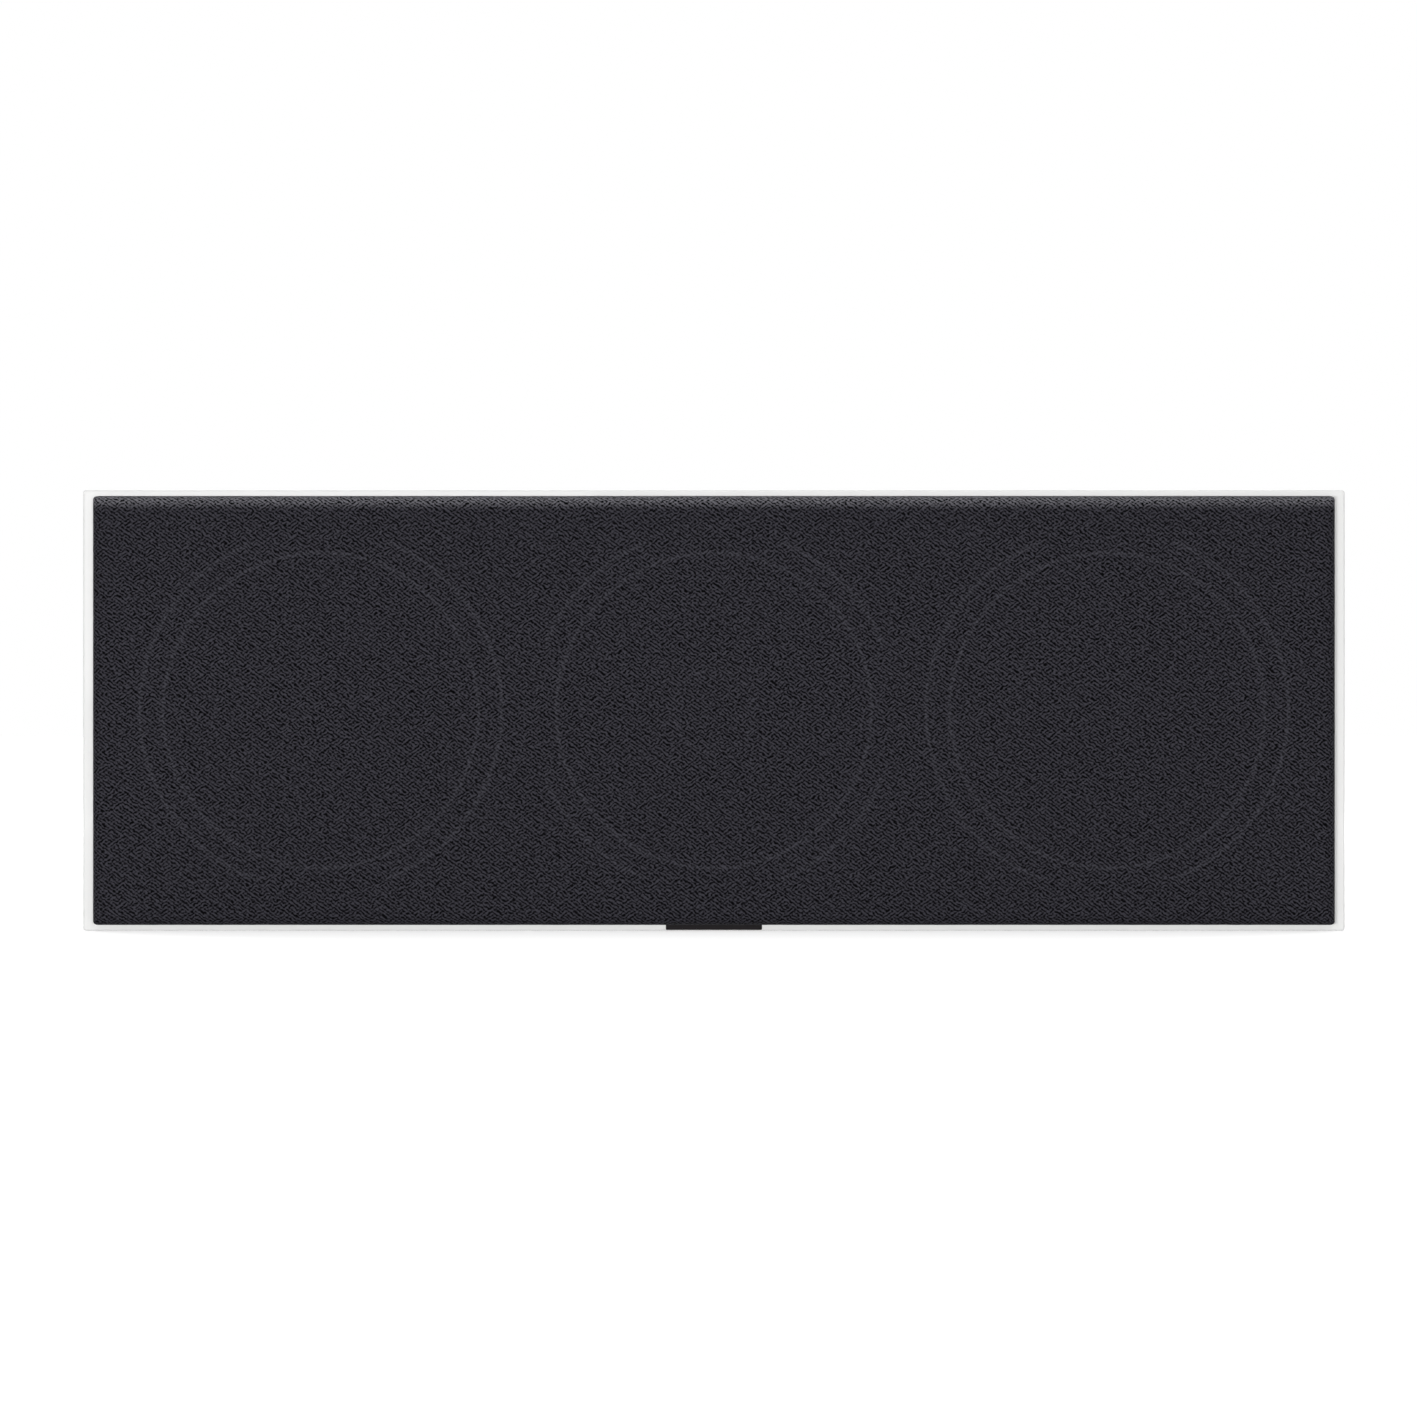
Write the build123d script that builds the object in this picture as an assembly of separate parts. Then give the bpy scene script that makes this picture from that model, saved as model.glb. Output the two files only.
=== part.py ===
from build123d import *
import math
import os

# Centre channel loudspeaker: two woofers and a coaxial unit in a lacquered box, behind a cloth grille.
# Millimetres, +Z up. The front faces -Y, and +X runs to the right seen from the front.
# The origin is the middle of the cabinet's underside.
# A drive unit is drawn about its own Z axis, with depth counted from the baffle's face into the box.

# Cabinet boards
CABINET_WIDTH = 630.0
CABINET_HEIGHT = 220.0
CABINET_DEPTH = 300.0
WALL_THICKNESS = 15.0
BAFFLE_THICKNESS = 22.0
REAR_THICKNESS = 15.0
CABINET_CORNER_ROUND = 1.5
CABINET_FACE_ROUND = 1.2
BRACE_THICKNESS = 12.0
BRACE_RAIL = 30.0
BRACE_WINDOW_CORNER = 18.0

# Wadding in the three chambers
WADDING_THICKNESS = 25.0
WADDING_MARGIN = 14.0
WADDING_ROUND = 8.0
WADDING_TOP_LENGTH = 120.0

# Plain plate at the foot of the baffle, half behind the grille
BADGE_WIDTH = 48.0
BADGE_HEIGHT = 12.0
BADGE_THICKNESS = 1.2
BADGE_BASE = 0.5
BADGE_CORNER = 0.6
BADGE_CLEARANCE = 0.4

# Grille
GRILLE_SIDE_MARGIN = 5.8
GRILLE_EDGE_MARGIN = 3.2
GRILLE_DEPTH = 13.0
GRILLE_FRONT_ROUND = 6.0
GRILLE_CORNER_ROUND = 2.5
GRILLE_RAIL = 23.0
GRILLE_END_RAIL = 18.0
GRILLE_WEB = 21.0
OPENING_RADIUS = 90.3
CLOTH_THICKNESS = 0.8
CLOTH_HEM = 7.0
MAGNET_RADIUS = 5.0
MAGNET_THICKNESS = 3.0
KEEPER_RADIUS = 6.0
KEEPER_THICKNESS = 2.0
KEEPER_SKIN = 2.0

# Drive unit: moving parts
DRIVER_GAP_SHARE = 0.1912
CONE_RADIUS = 58.5
CONE_LIP = 4.0
CONE_DEPTH = 28.5
CONE_FLARE = 2.5
CONE_THICKNESS = 0.8
CONE_TRAVEL = 4.0
ROLL_WIDTH = 12.0
ROLL_HEIGHT = 5.0
SURROUND_THICKNESS = 1.0
SURROUND_LAND = 4.3
DUST_CAP_RADIUS = 30.0
DUST_CAP_HEIGHT = 11.0
DUST_CAP_THICKNESS = 0.6
FORMER_RADIUS = 21.2
FORMER_THICKNESS = 0.4
FORMER_STANDOUT = 1.5
WINDING_THICKNESS = 0.8
SPIDER_DROP = 8.0
SPIDER_COLLAR = 4.0
SPIDER_THICKNESS = 0.8
SPIDER_WAVE_HEIGHT = 1.4
SPIDER_HALF_WAVES = 5

# Drive unit: frame and motor
TRIM_RECESS = 0.3
TRIM_THICKNESS = 6.0
TRIM_BEVEL = 3.8
TRIM_FACE = 9.2
TRIM_EDGE = 0.6
TRIM_LIP = 1.4
FLANGE_THICKNESS = 4.0
FLANGE_INSET = 2.0
BASKET_WALL = 3.0
BASKET_TAPER = 18.0
BASKET_NECK_TAPER = 5.0
BASKET_WINDOWS = 6
BASKET_RIB_ANGLE = 16.0
BASKET_WINDOW_MARGIN = 3.5
SHELF_WIDTH = 9.0
SHELF_THICKNESS = 3.0
SEAT_DROP = 13.5
SEAT_THICKNESS = 3.5
LUG_WIDTH = 26.0
LUG_LENGTH = 12.0
TAG_STRIP_WIDTH = 22.0
TAG_STRIP_THICKNESS = 1.6
TAG_PITCH = 6.4
TAG_WIDTH = 4.0
TAG_LENGTH = 8.0
TAG_THICKNESS = 0.8
TOP_PLATE_RADIUS = 45.0
TOP_PLATE_THICKNESS = 6.0
RING_MAGNET_RADIUS = 50.0
RING_MAGNET_THICKNESS = 18.0
YOKE_THICKNESS = 7.0
YOKE_CHAMFER = 2.0
POLE_VENT_RADIUS = 7.0
COIL_CLEARANCE = 0.4
MAGNET_BORE_CLEARANCE = 3.5

# Tweeter on the coaxial unit's pole
TWEETER_RADIUS = 20.3
TWEETER_RISE = 7.0
TWEETER_RIM = 0.8
WAVEGUIDE_DEPTH = 9.0
WAVEGUIDE_THROAT_LIP = 1.2
DOME_RADIUS = 12.5
DOME_HEIGHT = 4.6
DOME_THICKNESS = 0.4
DOME_EDGE = 2.0
DOME_TRAVEL = 0.3
DOME_CLEARANCE = 0.1
DOME_FORMER_LENGTH = 3.0
TWEETER_CUP_WALL = 3.0
TWEETER_CUP_DEPTH = 9.0
TWEETER_CUP_FLOOR = 4.0
TWEETER_MAGNET_RADIUS = 11.0
TWEETER_MAGNET_THICKNESS = 6.0
TWEETER_PEDESTAL_RADIUS = 14.0

# Countersunk screws that hold the drive units and the terminal cup
SCREW_RADIUS = 2.0
SCREW_HEAD_RADIUS = 4.0
SCREW_HEAD_HEIGHT = 2.2
SCREW_LENGTH = 13.0
SCREW_POINT = 3.0
DRIVER_SCREWS = 4

# Terminal cup with two binding posts
CUP_WIDTH = 110.0
CUP_HEIGHT = 80.0
CUP_RIM = 13.0
CUP_FLANGE = 3.0
CUP_DEPTH = 30.0
CUP_WALL = 2.5
CUP_FLOOR = 3.0
CUP_CORNER = 8.0
POST_PITCH = 30.0
POST_RADIUS = 3.0
POST_LENGTH = 24.0
POST_TAIL = 13.0
POST_COLLAR_RADIUS = 6.5
POST_COLLAR = 4.0
SOCKET_RADIUS = 2.0
SOCKET_LENGTH = 16.0
WIRE_HOLE_RADIUS = 1.6
WASHER_RADIUS = 6.3
WASHER_THICKNESS = 1.0
NUT_RADIUS = 7.5
NUT_LENGTH = 17.0
NUT_FLUTES = 12
NUT_FLUTE_RADIUS = 1.2
NUT_CHAMFER = 0.8
LOCK_NUT_ACROSS = 10.0
LOCK_NUT_HEIGHT = 4.0

# Crossover on the cabinet's floor, and the leads
BOARD_LENGTH = 130.0
BOARD_DEPTH = 90.0
BOARD_THICKNESS = 1.6
BOARD_REAR_GAP = 45.0
PILLAR_HEIGHT = 6.0
PILLAR_RADIUS = 3.5
PILLAR_PIN_RADIUS = 1.5
PILLAR_HEAD_RADIUS = 2.3
PILLAR_HEAD_HEIGHT = 1.2
PILLAR_INSET = 6.0
INDUCTOR_RADIUS = 18.0
INDUCTOR_BORE = 8.0
INDUCTOR_HEIGHT = 18.0
CAPACITOR_RADIUS = 9.0
CAPACITOR_HEIGHT = 30.0
CAPACITOR_ROUND = 1.0
RESISTOR_LENGTH = 24.0
RESISTOR_WIDTH = 9.0
PART_SPACING = 6.0
LEAD_RADIUS = 2.5
LEAD_BEND = 9.0
LEAD_HOLE_CLEARANCE = 1.0

# Fits
GLUE_LINE = 0.1
SCREW_CLEARANCE = 0.1
REBATE_CLEARANCE = 0.2
BASKET_CLEARANCE = 1.0
THREAD_CLEARANCE = 0.08
TAIL_CLEARANCE = 0.2

# Places in the cabinet
baffle_face = -CABINET_DEPTH / 2
baffle_back = baffle_face + BAFFLE_THICKNESS
rear_face = CABINET_DEPTH / 2
rear_inside = rear_face - REAR_THICKNESS
centre_height = CABINET_HEIGHT / 2
inner_width = CABINET_WIDTH - 2 * WALL_THICKNESS
inner_height = CABINET_HEIGHT - 2 * WALL_THICKNESS
inner_depth = rear_inside - baffle_back

# Radii of a drive unit, from the cone outwards
lip_inner = CONE_RADIUS - CONE_LIP
roll_outer = CONE_RADIUS + ROLL_WIDTH
surround_radius = roll_outer + SURROUND_LAND
trim_inner = surround_radius + REBATE_CLEARANCE
trim_bright = trim_inner + TRIM_BEVEL
trim_radius = trim_bright + TRIM_FACE
flange_radius = trim_radius - FLANGE_INSET
cutout_radius = surround_radius - BASKET_CLEARANCE
basket_top = cutout_radius - BASKET_CLEARANCE
shelf_radius = basket_top - BASKET_TAPER
shelf_inner = shelf_radius - SHELF_WIDTH
seat_radius = shelf_radius - BASKET_NECK_TAPER
screw_circle = (cutout_radius + flange_radius) / 2
former_outer = FORMER_RADIUS + FORMER_THICKNESS
winding_outer = former_outer + WINDING_THICKNESS
pole_radius = FORMER_RADIUS - COIL_CLEARANCE
plate_bore = winding_outer + COIL_CLEARANCE
magnet_bore = winding_outer + MAGNET_BORE_CLEARANCE

# Places of the drive units: a share of the baffle's spare width stands between two of them
spare_width = CABINET_WIDTH - 6 * trim_radius
driver_pitch = 2 * trim_radius + DRIVER_GAP_SHARE * spare_width
driver_places = {"left_woofer": -driver_pitch, "coaxial": 0.0, "right_woofer": driver_pitch}
brace_places = {"left_brace": -driver_pitch / 2, "right_brace": driver_pitch / 2}

# Depths of a drive unit, from the baffle's face inwards
flange_front = TRIM_RECESS + TRIM_THICKNESS
flange_back = flange_front + FLANGE_THICKNESS
lip_front = flange_front + GLUE_LINE
neck_depth = lip_front + CONE_DEPTH
spider_front = neck_depth + SPIDER_DROP
shelf_front = spider_front + SPIDER_THICKNESS
shelf_back = shelf_front + SHELF_THICKNESS
seat_back = shelf_front + SEAT_DROP
seat_front = seat_back - SEAT_THICKNESS
magnet_front = seat_back + TOP_PLATE_THICKNESS
yoke_front = magnet_front + RING_MAGNET_THICKNESS
yoke_back = yoke_front + YOKE_THICKNESS
winding_length = TOP_PLATE_THICKNESS + 2 * CONE_TRAVEL
winding_front = seat_back - CONE_TRAVEL

# Grille outline and its magnets
grille_width = CABINET_WIDTH - 2 * GRILLE_SIDE_MARGIN
grille_height = CABINET_HEIGHT - 2 * GRILLE_EDGE_MARGIN
frame_inset = CLOTH_THICKNESS + GLUE_LINE
opening_half_height = grille_height / 2 - GRILLE_RAIL
hem_inset = frame_inset + CLOTH_HEM + GLUE_LINE
magnet_rise = (opening_half_height + grille_height / 2 - hem_inset) / 2
magnet_reach = grille_width / 2 - (grille_height / 2 - magnet_rise)
magnet_columns = (-magnet_reach, -driver_pitch / 2, driver_pitch / 2, magnet_reach)
magnet_places = [(x, centre_height + rise) for x in magnet_columns for rise in (-magnet_rise, magnet_rise)]


def polygon(*points):
    """Closed flat outline with straight sides."""
    return make_face(Polyline(*points, close=True))


def ribbon(path, thickness, side):
    """Strip of even thickness along one side of a path."""
    return make_face(Wire(path).offset_2d(thickness, kind=Kind.INTERSECTION, side=side, closed=True))


def lathe(outline):
    """Solid turned about Z, from an outline in radius and depth."""
    return revolve(Plane.XZ * outline, Axis.Z)


def tube(inner, outer, front, back):
    """Plain ring about Z between two depths."""
    return lathe(polygon((inner, front), (outer, front), (outer, back), (inner, back)))


def upright(outline, front, back):
    """Board standing between two depths, from an outline in X and Z."""
    return extrude(Plane.XZ.offset(-back) * outline, back - front)


def facing_back(x, y, z):
    """Frame whose Z axis points to the cabinet's rear."""
    return Plane(origin=(x, y, z), x_dir=(1, 0, 0), z_dir=(0, 1, 0)).location


def facing_front(x, y, z):
    """Frame whose Z axis points to the cabinet's front."""
    return Plane(origin=(x, y, z), x_dir=(1, 0, 0), z_dir=(0, -1, 0)).location


def around(shape, count, start=0.0):
    """Copies of a shape, evenly turned about Z."""
    return [Rot(Z=start + 360 * k / count) * shape for k in range(count)]


def middle_of_bulge(start, end, bulge):
    """Point beside the middle of a chord, on the side towards the axis and the front."""
    (r0, d0), (r1, d1) = start, end
    length = math.hypot(r1 - r0, d1 - d0)
    return (r0 + r1) / 2 + bulge * (d1 - d0) / length * -1, (d0 + d1) / 2 + bulge * (r1 - r0) / length


def screw():
    """Countersunk screw, its head flush at depth 0."""
    return lathe(screw_outline(0.0))


def screw_outline(clearance):
    """Half section of a screw, grown by a clearance to cut its hole."""
    shank = SCREW_RADIUS + clearance
    head = SCREW_HEAD_RADIUS + clearance
    straight = SCREW_LENGTH - SCREW_POINT
    return polygon(
        (0, 0),
        (head, 0),
        (shank, SCREW_HEAD_HEIGHT),
        (shank, straight + clearance),
        (0, SCREW_LENGTH + clearance),
    )


def driver_screw_frames(x):
    """Frames of the screws in one drive unit's flange."""
    seat = Pos(screw_circle, 0, flange_front)
    return [facing_back(x, baffle_face, centre_height) * turn for turn in around(seat, DRIVER_SCREWS, 45)]


def cup_screw_frames():
    """Frames of the four screws in the terminal cup's rim."""
    reach = CUP_WIDTH / 2 - CUP_RIM / 2
    rise = CUP_HEIGHT / 2 - CUP_RIM / 2
    outer = rear_face + CUP_FLANGE
    return [facing_front(x, outer, centre_height + z) for x in (-reach, reach) for z in (-rise, rise)]


def cabinet_shell():
    """Top, bottom and side boards, glued into a sleeve."""
    sleeve = RectangleRounded(CABINET_WIDTH, CABINET_HEIGHT, CABINET_CORNER_ROUND)
    sleeve -= Rectangle(inner_width, inner_height)
    shell = upright(Pos(0, centre_height) * sleeve, baffle_back, rear_face)
    rear_rim = shell.faces().sort_by(Axis.Y)[-1].outer_wire().edges()
    return fillet(rear_rim, CABINET_FACE_ROUND)


def front_baffle():
    """Front board with rebated holes for the drive units and blind holes for the keepers."""
    outline = Pos(0, centre_height) * RectangleRounded(CABINET_WIDTH, CABINET_HEIGHT, CABINET_CORNER_ROUND)
    board = upright(outline, baffle_face, baffle_back)
    board = fillet(board.faces().sort_by(Axis.Y)[0].outer_wire().edges(), CABINET_FACE_ROUND)
    rebate = Cylinder(trim_radius + REBATE_CLEARANCE, 2 * flange_back)
    cutout = Cylinder(cutout_radius, 2 * BAFFLE_THICKNESS + flange_back)
    screw_hole = lathe(screw_outline(SCREW_CLEARANCE))
    for x in driver_places.values():
        board -= facing_back(x, baffle_face, centre_height) * (rebate + cutout)
        board -= [place * screw_hole for place in driver_screw_frames(x)]
    pocket = Circle(KEEPER_RADIUS + GLUE_LINE)
    pockets = [Pos(x, z) * pocket for x, z in magnet_places]
    return board - upright(Sketch() + pockets, baffle_face + KEEPER_SKIN, baffle_back)


def rear_panel():
    """Back board, let into the sleeve, with the terminal cup's cut-out."""
    cut_width = CUP_WIDTH - 2 * CUP_RIM + 2 * (CUP_WALL + REBATE_CLEARANCE)
    cut_height = CUP_HEIGHT - 2 * CUP_RIM + 2 * (CUP_WALL + REBATE_CLEARANCE)
    outline = Rectangle(inner_width, inner_height)
    outline -= RectangleRounded(cut_width, cut_height, CUP_CORNER)
    panel = upright(Pos(0, centre_height) * outline, rear_inside, rear_face)
    screw_hole = lathe(screw_outline(SCREW_CLEARANCE))
    return panel - [place * screw_hole for place in cup_screw_frames()]


def brace(x):
    """Window brace between two chambers, with a hole for a driver's lead."""
    outline = Rectangle(inner_depth, inner_height)
    outline -= RectangleRounded(
        inner_depth - 2 * BRACE_RAIL, inner_height - 2 * BRACE_RAIL, BRACE_WINDOW_CORNER
    )
    middle = (baffle_back + rear_inside) / 2
    board = extrude(Plane.YZ.offset(x - BRACE_THICKNESS / 2) * Pos(middle, centre_height) * outline,
                    BRACE_THICKNESS)
    hole = Circle(LEAD_RADIUS + LEAD_HOLE_CLEARANCE)
    place = Plane.YZ.offset(x - BRACE_THICKNESS) * Pos(board_middle, lead_height)
    return board - extrude(place * hole, 2 * BRACE_THICKNESS)


def wadding_pads():
    """Loose polyester pads: one on the rear board of each side chamber, one under the top board."""
    side_start = driver_pitch / 2 + BRACE_THICKNESS / 2
    side_room = inner_width / 2 - side_start
    side_pad = Box(side_room - 2 * WADDING_MARGIN, WADDING_THICKNESS, inner_height - 2 * WADDING_MARGIN)
    side_pad = fillet(side_pad.edges(), WADDING_ROUND)
    pads = []
    for sign in (-1, 1):
        x = sign * (side_start + side_room / 2)
        pads.append(Pos(x, rear_inside - WADDING_THICKNESS / 2, centre_height) * side_pad)
    top_pad = Box(2 * (side_start - BRACE_THICKNESS - WADDING_MARGIN), WADDING_TOP_LENGTH, WADDING_THICKNESS)
    top_pad = fillet(top_pad.edges(), WADDING_ROUND)
    top = CABINET_HEIGHT - WALL_THICKNESS - WADDING_THICKNESS / 2
    pads.append(Pos(0, rear_inside - BRACE_RAIL - WADDING_TOP_LENGTH / 2, top) * top_pad)
    return Compound(pads)


def badge_plate():
    """Thin plain plate on the baffle's lower edge."""
    outline = RectangleRounded(BADGE_WIDTH, BADGE_HEIGHT, BADGE_CORNER)
    outline = Pos(0, BADGE_BASE + BADGE_HEIGHT / 2) * outline
    return upright(outline, baffle_face - BADGE_THICKNESS, baffle_face)


def grille_block(inset):
    """Solid grille with rounded front edges and corners, everywhere set in from the cloth's outside."""
    width = grille_width - 2 * inset
    height = grille_height - 2 * inset
    depth = GRILLE_DEPTH - inset
    bend = GRILLE_FRONT_ROUND - inset
    middle = baffle_face - depth / 2
    front = Pos(0, centre_height) * RectangleRounded(width, height, GRILLE_CORNER_ROUND - inset)
    block = upright(front, baffle_face - depth, baffle_face)
    plan = Rectangle(width, depth)
    plan = Pos(0, middle) * fillet(plan.vertices().sort_by(Axis.Y)[:2], bend)
    block &= extrude(plan, CABINET_HEIGHT)
    side = Rectangle(depth, height)
    side = Pos(middle, centre_height) * fillet(side.vertices().sort_by(Axis.X)[:2], bend)
    return block & extrude(Plane.YZ * side, CABINET_WIDTH, both=True)


def grille_hem(inset, width):
    """Band round the back of the grille where the cloth is turned in and glued."""
    band = Rectangle(grille_width, grille_height)
    reach = 2 * (inset + width)
    band -= Rectangle(grille_width - reach, grille_height - reach)
    return upright(Pos(0, centre_height) * band, baffle_face - inset, baffle_face)


def badge_relief():
    """Room for the plate behind the grille's lower edge."""
    width = BADGE_WIDTH + 2 * BADGE_CLEARANCE
    top = BADGE_BASE + BADGE_HEIGHT + BADGE_CLEARANCE
    depth = BADGE_THICKNESS + BADGE_CLEARANCE
    return upright(Pos(0, top / 2) * Rectangle(width, top), baffle_face - depth, baffle_face)


def grille_opening(x):
    """Round window before a drive unit, kept between the frame's rails and webs."""
    low, high = -opening_half_height, opening_half_height
    if x:
        towards_middle = driver_pitch - opening_half_height - GRILLE_WEB
        towards_end = grille_width / 2 - GRILLE_END_RAIL - driver_pitch
        low, high = (-towards_end, towards_middle) if x < 0 else (-towards_middle, towards_end)
    room = Pos((low + high) / 2) * Rectangle(high - low, 2 * opening_half_height)
    return Pos(x, centre_height) * (Circle(OPENING_RADIUS) & room)


def grille_frame():
    """Moulded frame with three windows, a rebate for the hem and pockets for the magnets."""
    frame = grille_block(frame_inset) - grille_hem(frame_inset, CLOTH_HEM + GLUE_LINE)
    windows = Sketch() + [grille_opening(x) for x in driver_places.values()]
    frame -= upright(windows, baffle_face - GRILLE_DEPTH, baffle_face)
    pocket = Circle(MAGNET_RADIUS + GLUE_LINE)
    pockets = Sketch() + [Pos(x, z) * pocket for x, z in magnet_places]
    frame -= upright(pockets, baffle_face - MAGNET_THICKNESS, baffle_face)
    return frame - badge_relief()


def grille_cloth():
    """Cloth stretched over the frame's front and sides and turned in behind it."""
    core = grille_block(CLOTH_THICKNESS) - grille_hem(CLOTH_THICKNESS, CLOTH_HEM)
    return grille_block(0.0) - core - badge_relief()


def grille_magnets():
    """Disc magnets flush with the frame's back."""
    disc = upright(Circle(MAGNET_RADIUS), baffle_face - MAGNET_THICKNESS, baffle_face)
    return Compound([Pos(x, 0, z) * disc for x, z in magnet_places])


def baffle_keepers():
    """Steel discs at the bottom of the baffle's blind holes, one behind each magnet."""
    front = baffle_face + KEEPER_SKIN
    disc = upright(Circle(KEEPER_RADIUS), front, front + KEEPER_THICKNESS)
    return Compound([Pos(x, 0, z) * disc for x, z in magnet_places])


def trim_ring():
    """Ring over the drive unit's flange and screws, bevelled down to the surround."""
    return lathe(polygon(
        (trim_bright, TRIM_RECESS),
        (trim_radius - TRIM_EDGE, TRIM_RECESS),
        (trim_radius, TRIM_RECESS + TRIM_EDGE),
        (trim_radius, flange_front),
        (trim_inner, flange_front),
        (trim_inner, flange_front - TRIM_LIP),
    ))


def basket():
    """Cast frame: flange, ribs round open windows, shelf for the spider and seat for the motor."""
    wall = BASKET_WALL
    body = lathe(polygon(
        (flange_radius, flange_front),
        (flange_radius, flange_back),
        (basket_top, flange_back),
        (shelf_radius, shelf_front),
        (shelf_radius, shelf_back),
        (seat_radius, seat_back),
        (magnet_bore, seat_back),
        (magnet_bore, seat_front),
        (seat_radius - wall, seat_front),
        (shelf_radius - wall, shelf_back),
        (shelf_inner, shelf_back),
        (shelf_inner, shelf_front),
        (shelf_radius - wall, shelf_front),
        (basket_top - wall, flange_back),
        (basket_top - wall, flange_front),
    ))
    half_angle = math.radians(180 / BASKET_WINDOWS - BASKET_RIB_ANGLE / 2)
    reach = flange_radius
    wedge = polygon((0, 0), (reach, -reach * math.tan(half_angle)), (reach, reach * math.tan(half_angle)))
    window_front = flange_back + BASKET_WINDOW_MARGIN
    window_back = shelf_front - BASKET_WINDOW_MARGIN
    window = Pos(0, 0, window_front) * extrude(wedge, window_back - window_front)
    body -= around(window, BASKET_WINDOWS)
    lug = Rectangle(LUG_WIDTH, LUG_LENGTH + wall)
    lug = Pos(0, seat_radius + (LUG_LENGTH - wall) / 2, seat_front) * extrude(lug, SEAT_THICKNESS)
    screw_hole = Pos(screw_circle, 0, flange_front) * lathe(screw_outline(SCREW_CLEARANCE))
    return body + lug - around(screw_hole, DRIVER_SCREWS, 45)


def tag_strip():
    """Insulating strip on the basket's lug, with two solder tags."""
    end = seat_radius + LUG_LENGTH
    start = seat_radius + BASKET_CLEARANCE
    plate = Pos(0, (start + end) / 2) * Rectangle(TAG_STRIP_WIDTH, end - start)
    strip = Pos(0, 0, seat_back) * extrude(plate, TAG_STRIP_THICKNESS)
    tag_back = seat_back + (TAG_STRIP_THICKNESS - TAG_THICKNESS) / 2
    for side in (-1, 1):
        tag = Pos(side * TAG_PITCH / 2, end + TAG_LENGTH / 2) * Rectangle(TAG_WIDTH, TAG_LENGTH)
        strip += Pos(0, 0, tag_back) * extrude(tag, TAG_THICKNESS)
    return strip


def surround():
    """Half-roll rubber edge between the basket's flange and the cone's lip."""
    path = [
        Line((surround_radius, flange_front), (roll_outer, flange_front)),
        ThreePointArc(
            (roll_outer, flange_front),
            (roll_outer - ROLL_WIDTH / 2, flange_front - ROLL_HEIGHT),
            (CONE_RADIUS, flange_front),
        ),
        Line((CONE_RADIUS, flange_front), (lip_inner, flange_front)),
    ]
    return lathe(ribbon(path, SURROUND_THICKNESS, Side.LEFT))


def cone_face(shift=0.0):
    """Front line of the cone: its flat lip and flared wall, moved back by a shift."""
    lip_edge = (lip_inner, lip_front + shift)
    neck = (former_outer + GLUE_LINE, neck_depth + shift)
    wall = ThreePointArc(lip_edge, middle_of_bulge(lip_edge, neck, CONE_FLARE), neck)
    return [Line((CONE_RADIUS, lip_front + shift), lip_edge), wall]


def cone():
    """Flared metal cone with a flat lip under the surround."""
    return lathe(ribbon(cone_face(), CONE_THICKNESS, Side.RIGHT))


def dust_cap():
    """Dome over the cone's neck, trimmed to sit on the cone."""
    wall = cone_face()[1]
    centre = wall.arc_center
    rim = centre.Y - math.sqrt(wall.radius ** 2 - (centre.X - DUST_CAP_RADIUS) ** 2)
    swell = (DUST_CAP_RADIUS ** 2 + DUST_CAP_HEIGHT ** 2) / (2 * DUST_CAP_HEIGHT)
    overlap = DUST_CAP_RADIUS + 4 * CONE_THICKNESS
    skirt = rim - DUST_CAP_HEIGHT + swell - math.sqrt(swell ** 2 - overlap ** 2)
    half = overlap / 2
    shoulder = rim - DUST_CAP_HEIGHT + swell - math.sqrt(swell ** 2 - half ** 2)
    dome = ThreePointArc((overlap, skirt), (half, shoulder), (0, rim - DUST_CAP_HEIGHT))
    shell = lathe(ribbon([dome], DUST_CAP_THICKNESS, Side.RIGHT))
    lip, wall = cone_face(-GLUE_LINE)
    behind = Polyline((CONE_RADIUS, lip_front - GLUE_LINE), (CONE_RADIUS, seat_back), tuple(wall @ 1)[:2])
    return shell - lathe(make_face([*lip.edges(), *wall.edges(), *behind.edges()]))


def spider():
    """Corrugated cloth disc that centres the voice coil."""
    inner = former_outer + GLUE_LINE
    start = inner + SPIDER_COLLAR
    step = (shelf_inner - start) / SPIDER_HALF_WAVES
    outer = shelf_radius - BASKET_WALL - GLUE_LINE
    faces = []
    for depth in (spider_front, shelf_front):
        faces.append(Line((inner, depth), (start, depth)))
        for k in range(SPIDER_HALF_WAVES):
            edge = start + k * step
            rise = SPIDER_WAVE_HEIGHT if k % 2 else -SPIDER_WAVE_HEIGHT
            faces.append(ThreePointArc((edge, depth), (edge + step / 2, depth + rise), (edge + step, depth)))
        faces.append(Line((shelf_inner, depth), (outer, depth)))
    ends = [Line((r, spider_front), (r, shelf_front)) for r in (inner, outer)]
    return lathe(make_face([*faces, *ends]))


def voice_coil():
    """Former with its winding centred in the motor's gap."""
    front = neck_depth - FORMER_STANDOUT
    winding_back = winding_front + winding_length
    back = winding_back + FORMER_STANDOUT
    return lathe(polygon(
        (FORMER_RADIUS, front),
        (former_outer, front),
        (former_outer, winding_front),
        (winding_outer, winding_front),
        (winding_outer, winding_back),
        (former_outer, winding_back),
        (former_outer, back),
        (FORMER_RADIUS, back),
    ))


def top_plate():
    """Steel plate round the coil, on the basket's seat."""
    return tube(plate_bore, TOP_PLATE_RADIUS, seat_back, magnet_front)


def ring_magnet():
    """Ferrite ring."""
    return tube(magnet_bore, RING_MAGNET_RADIUS, magnet_front, yoke_front)


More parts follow.
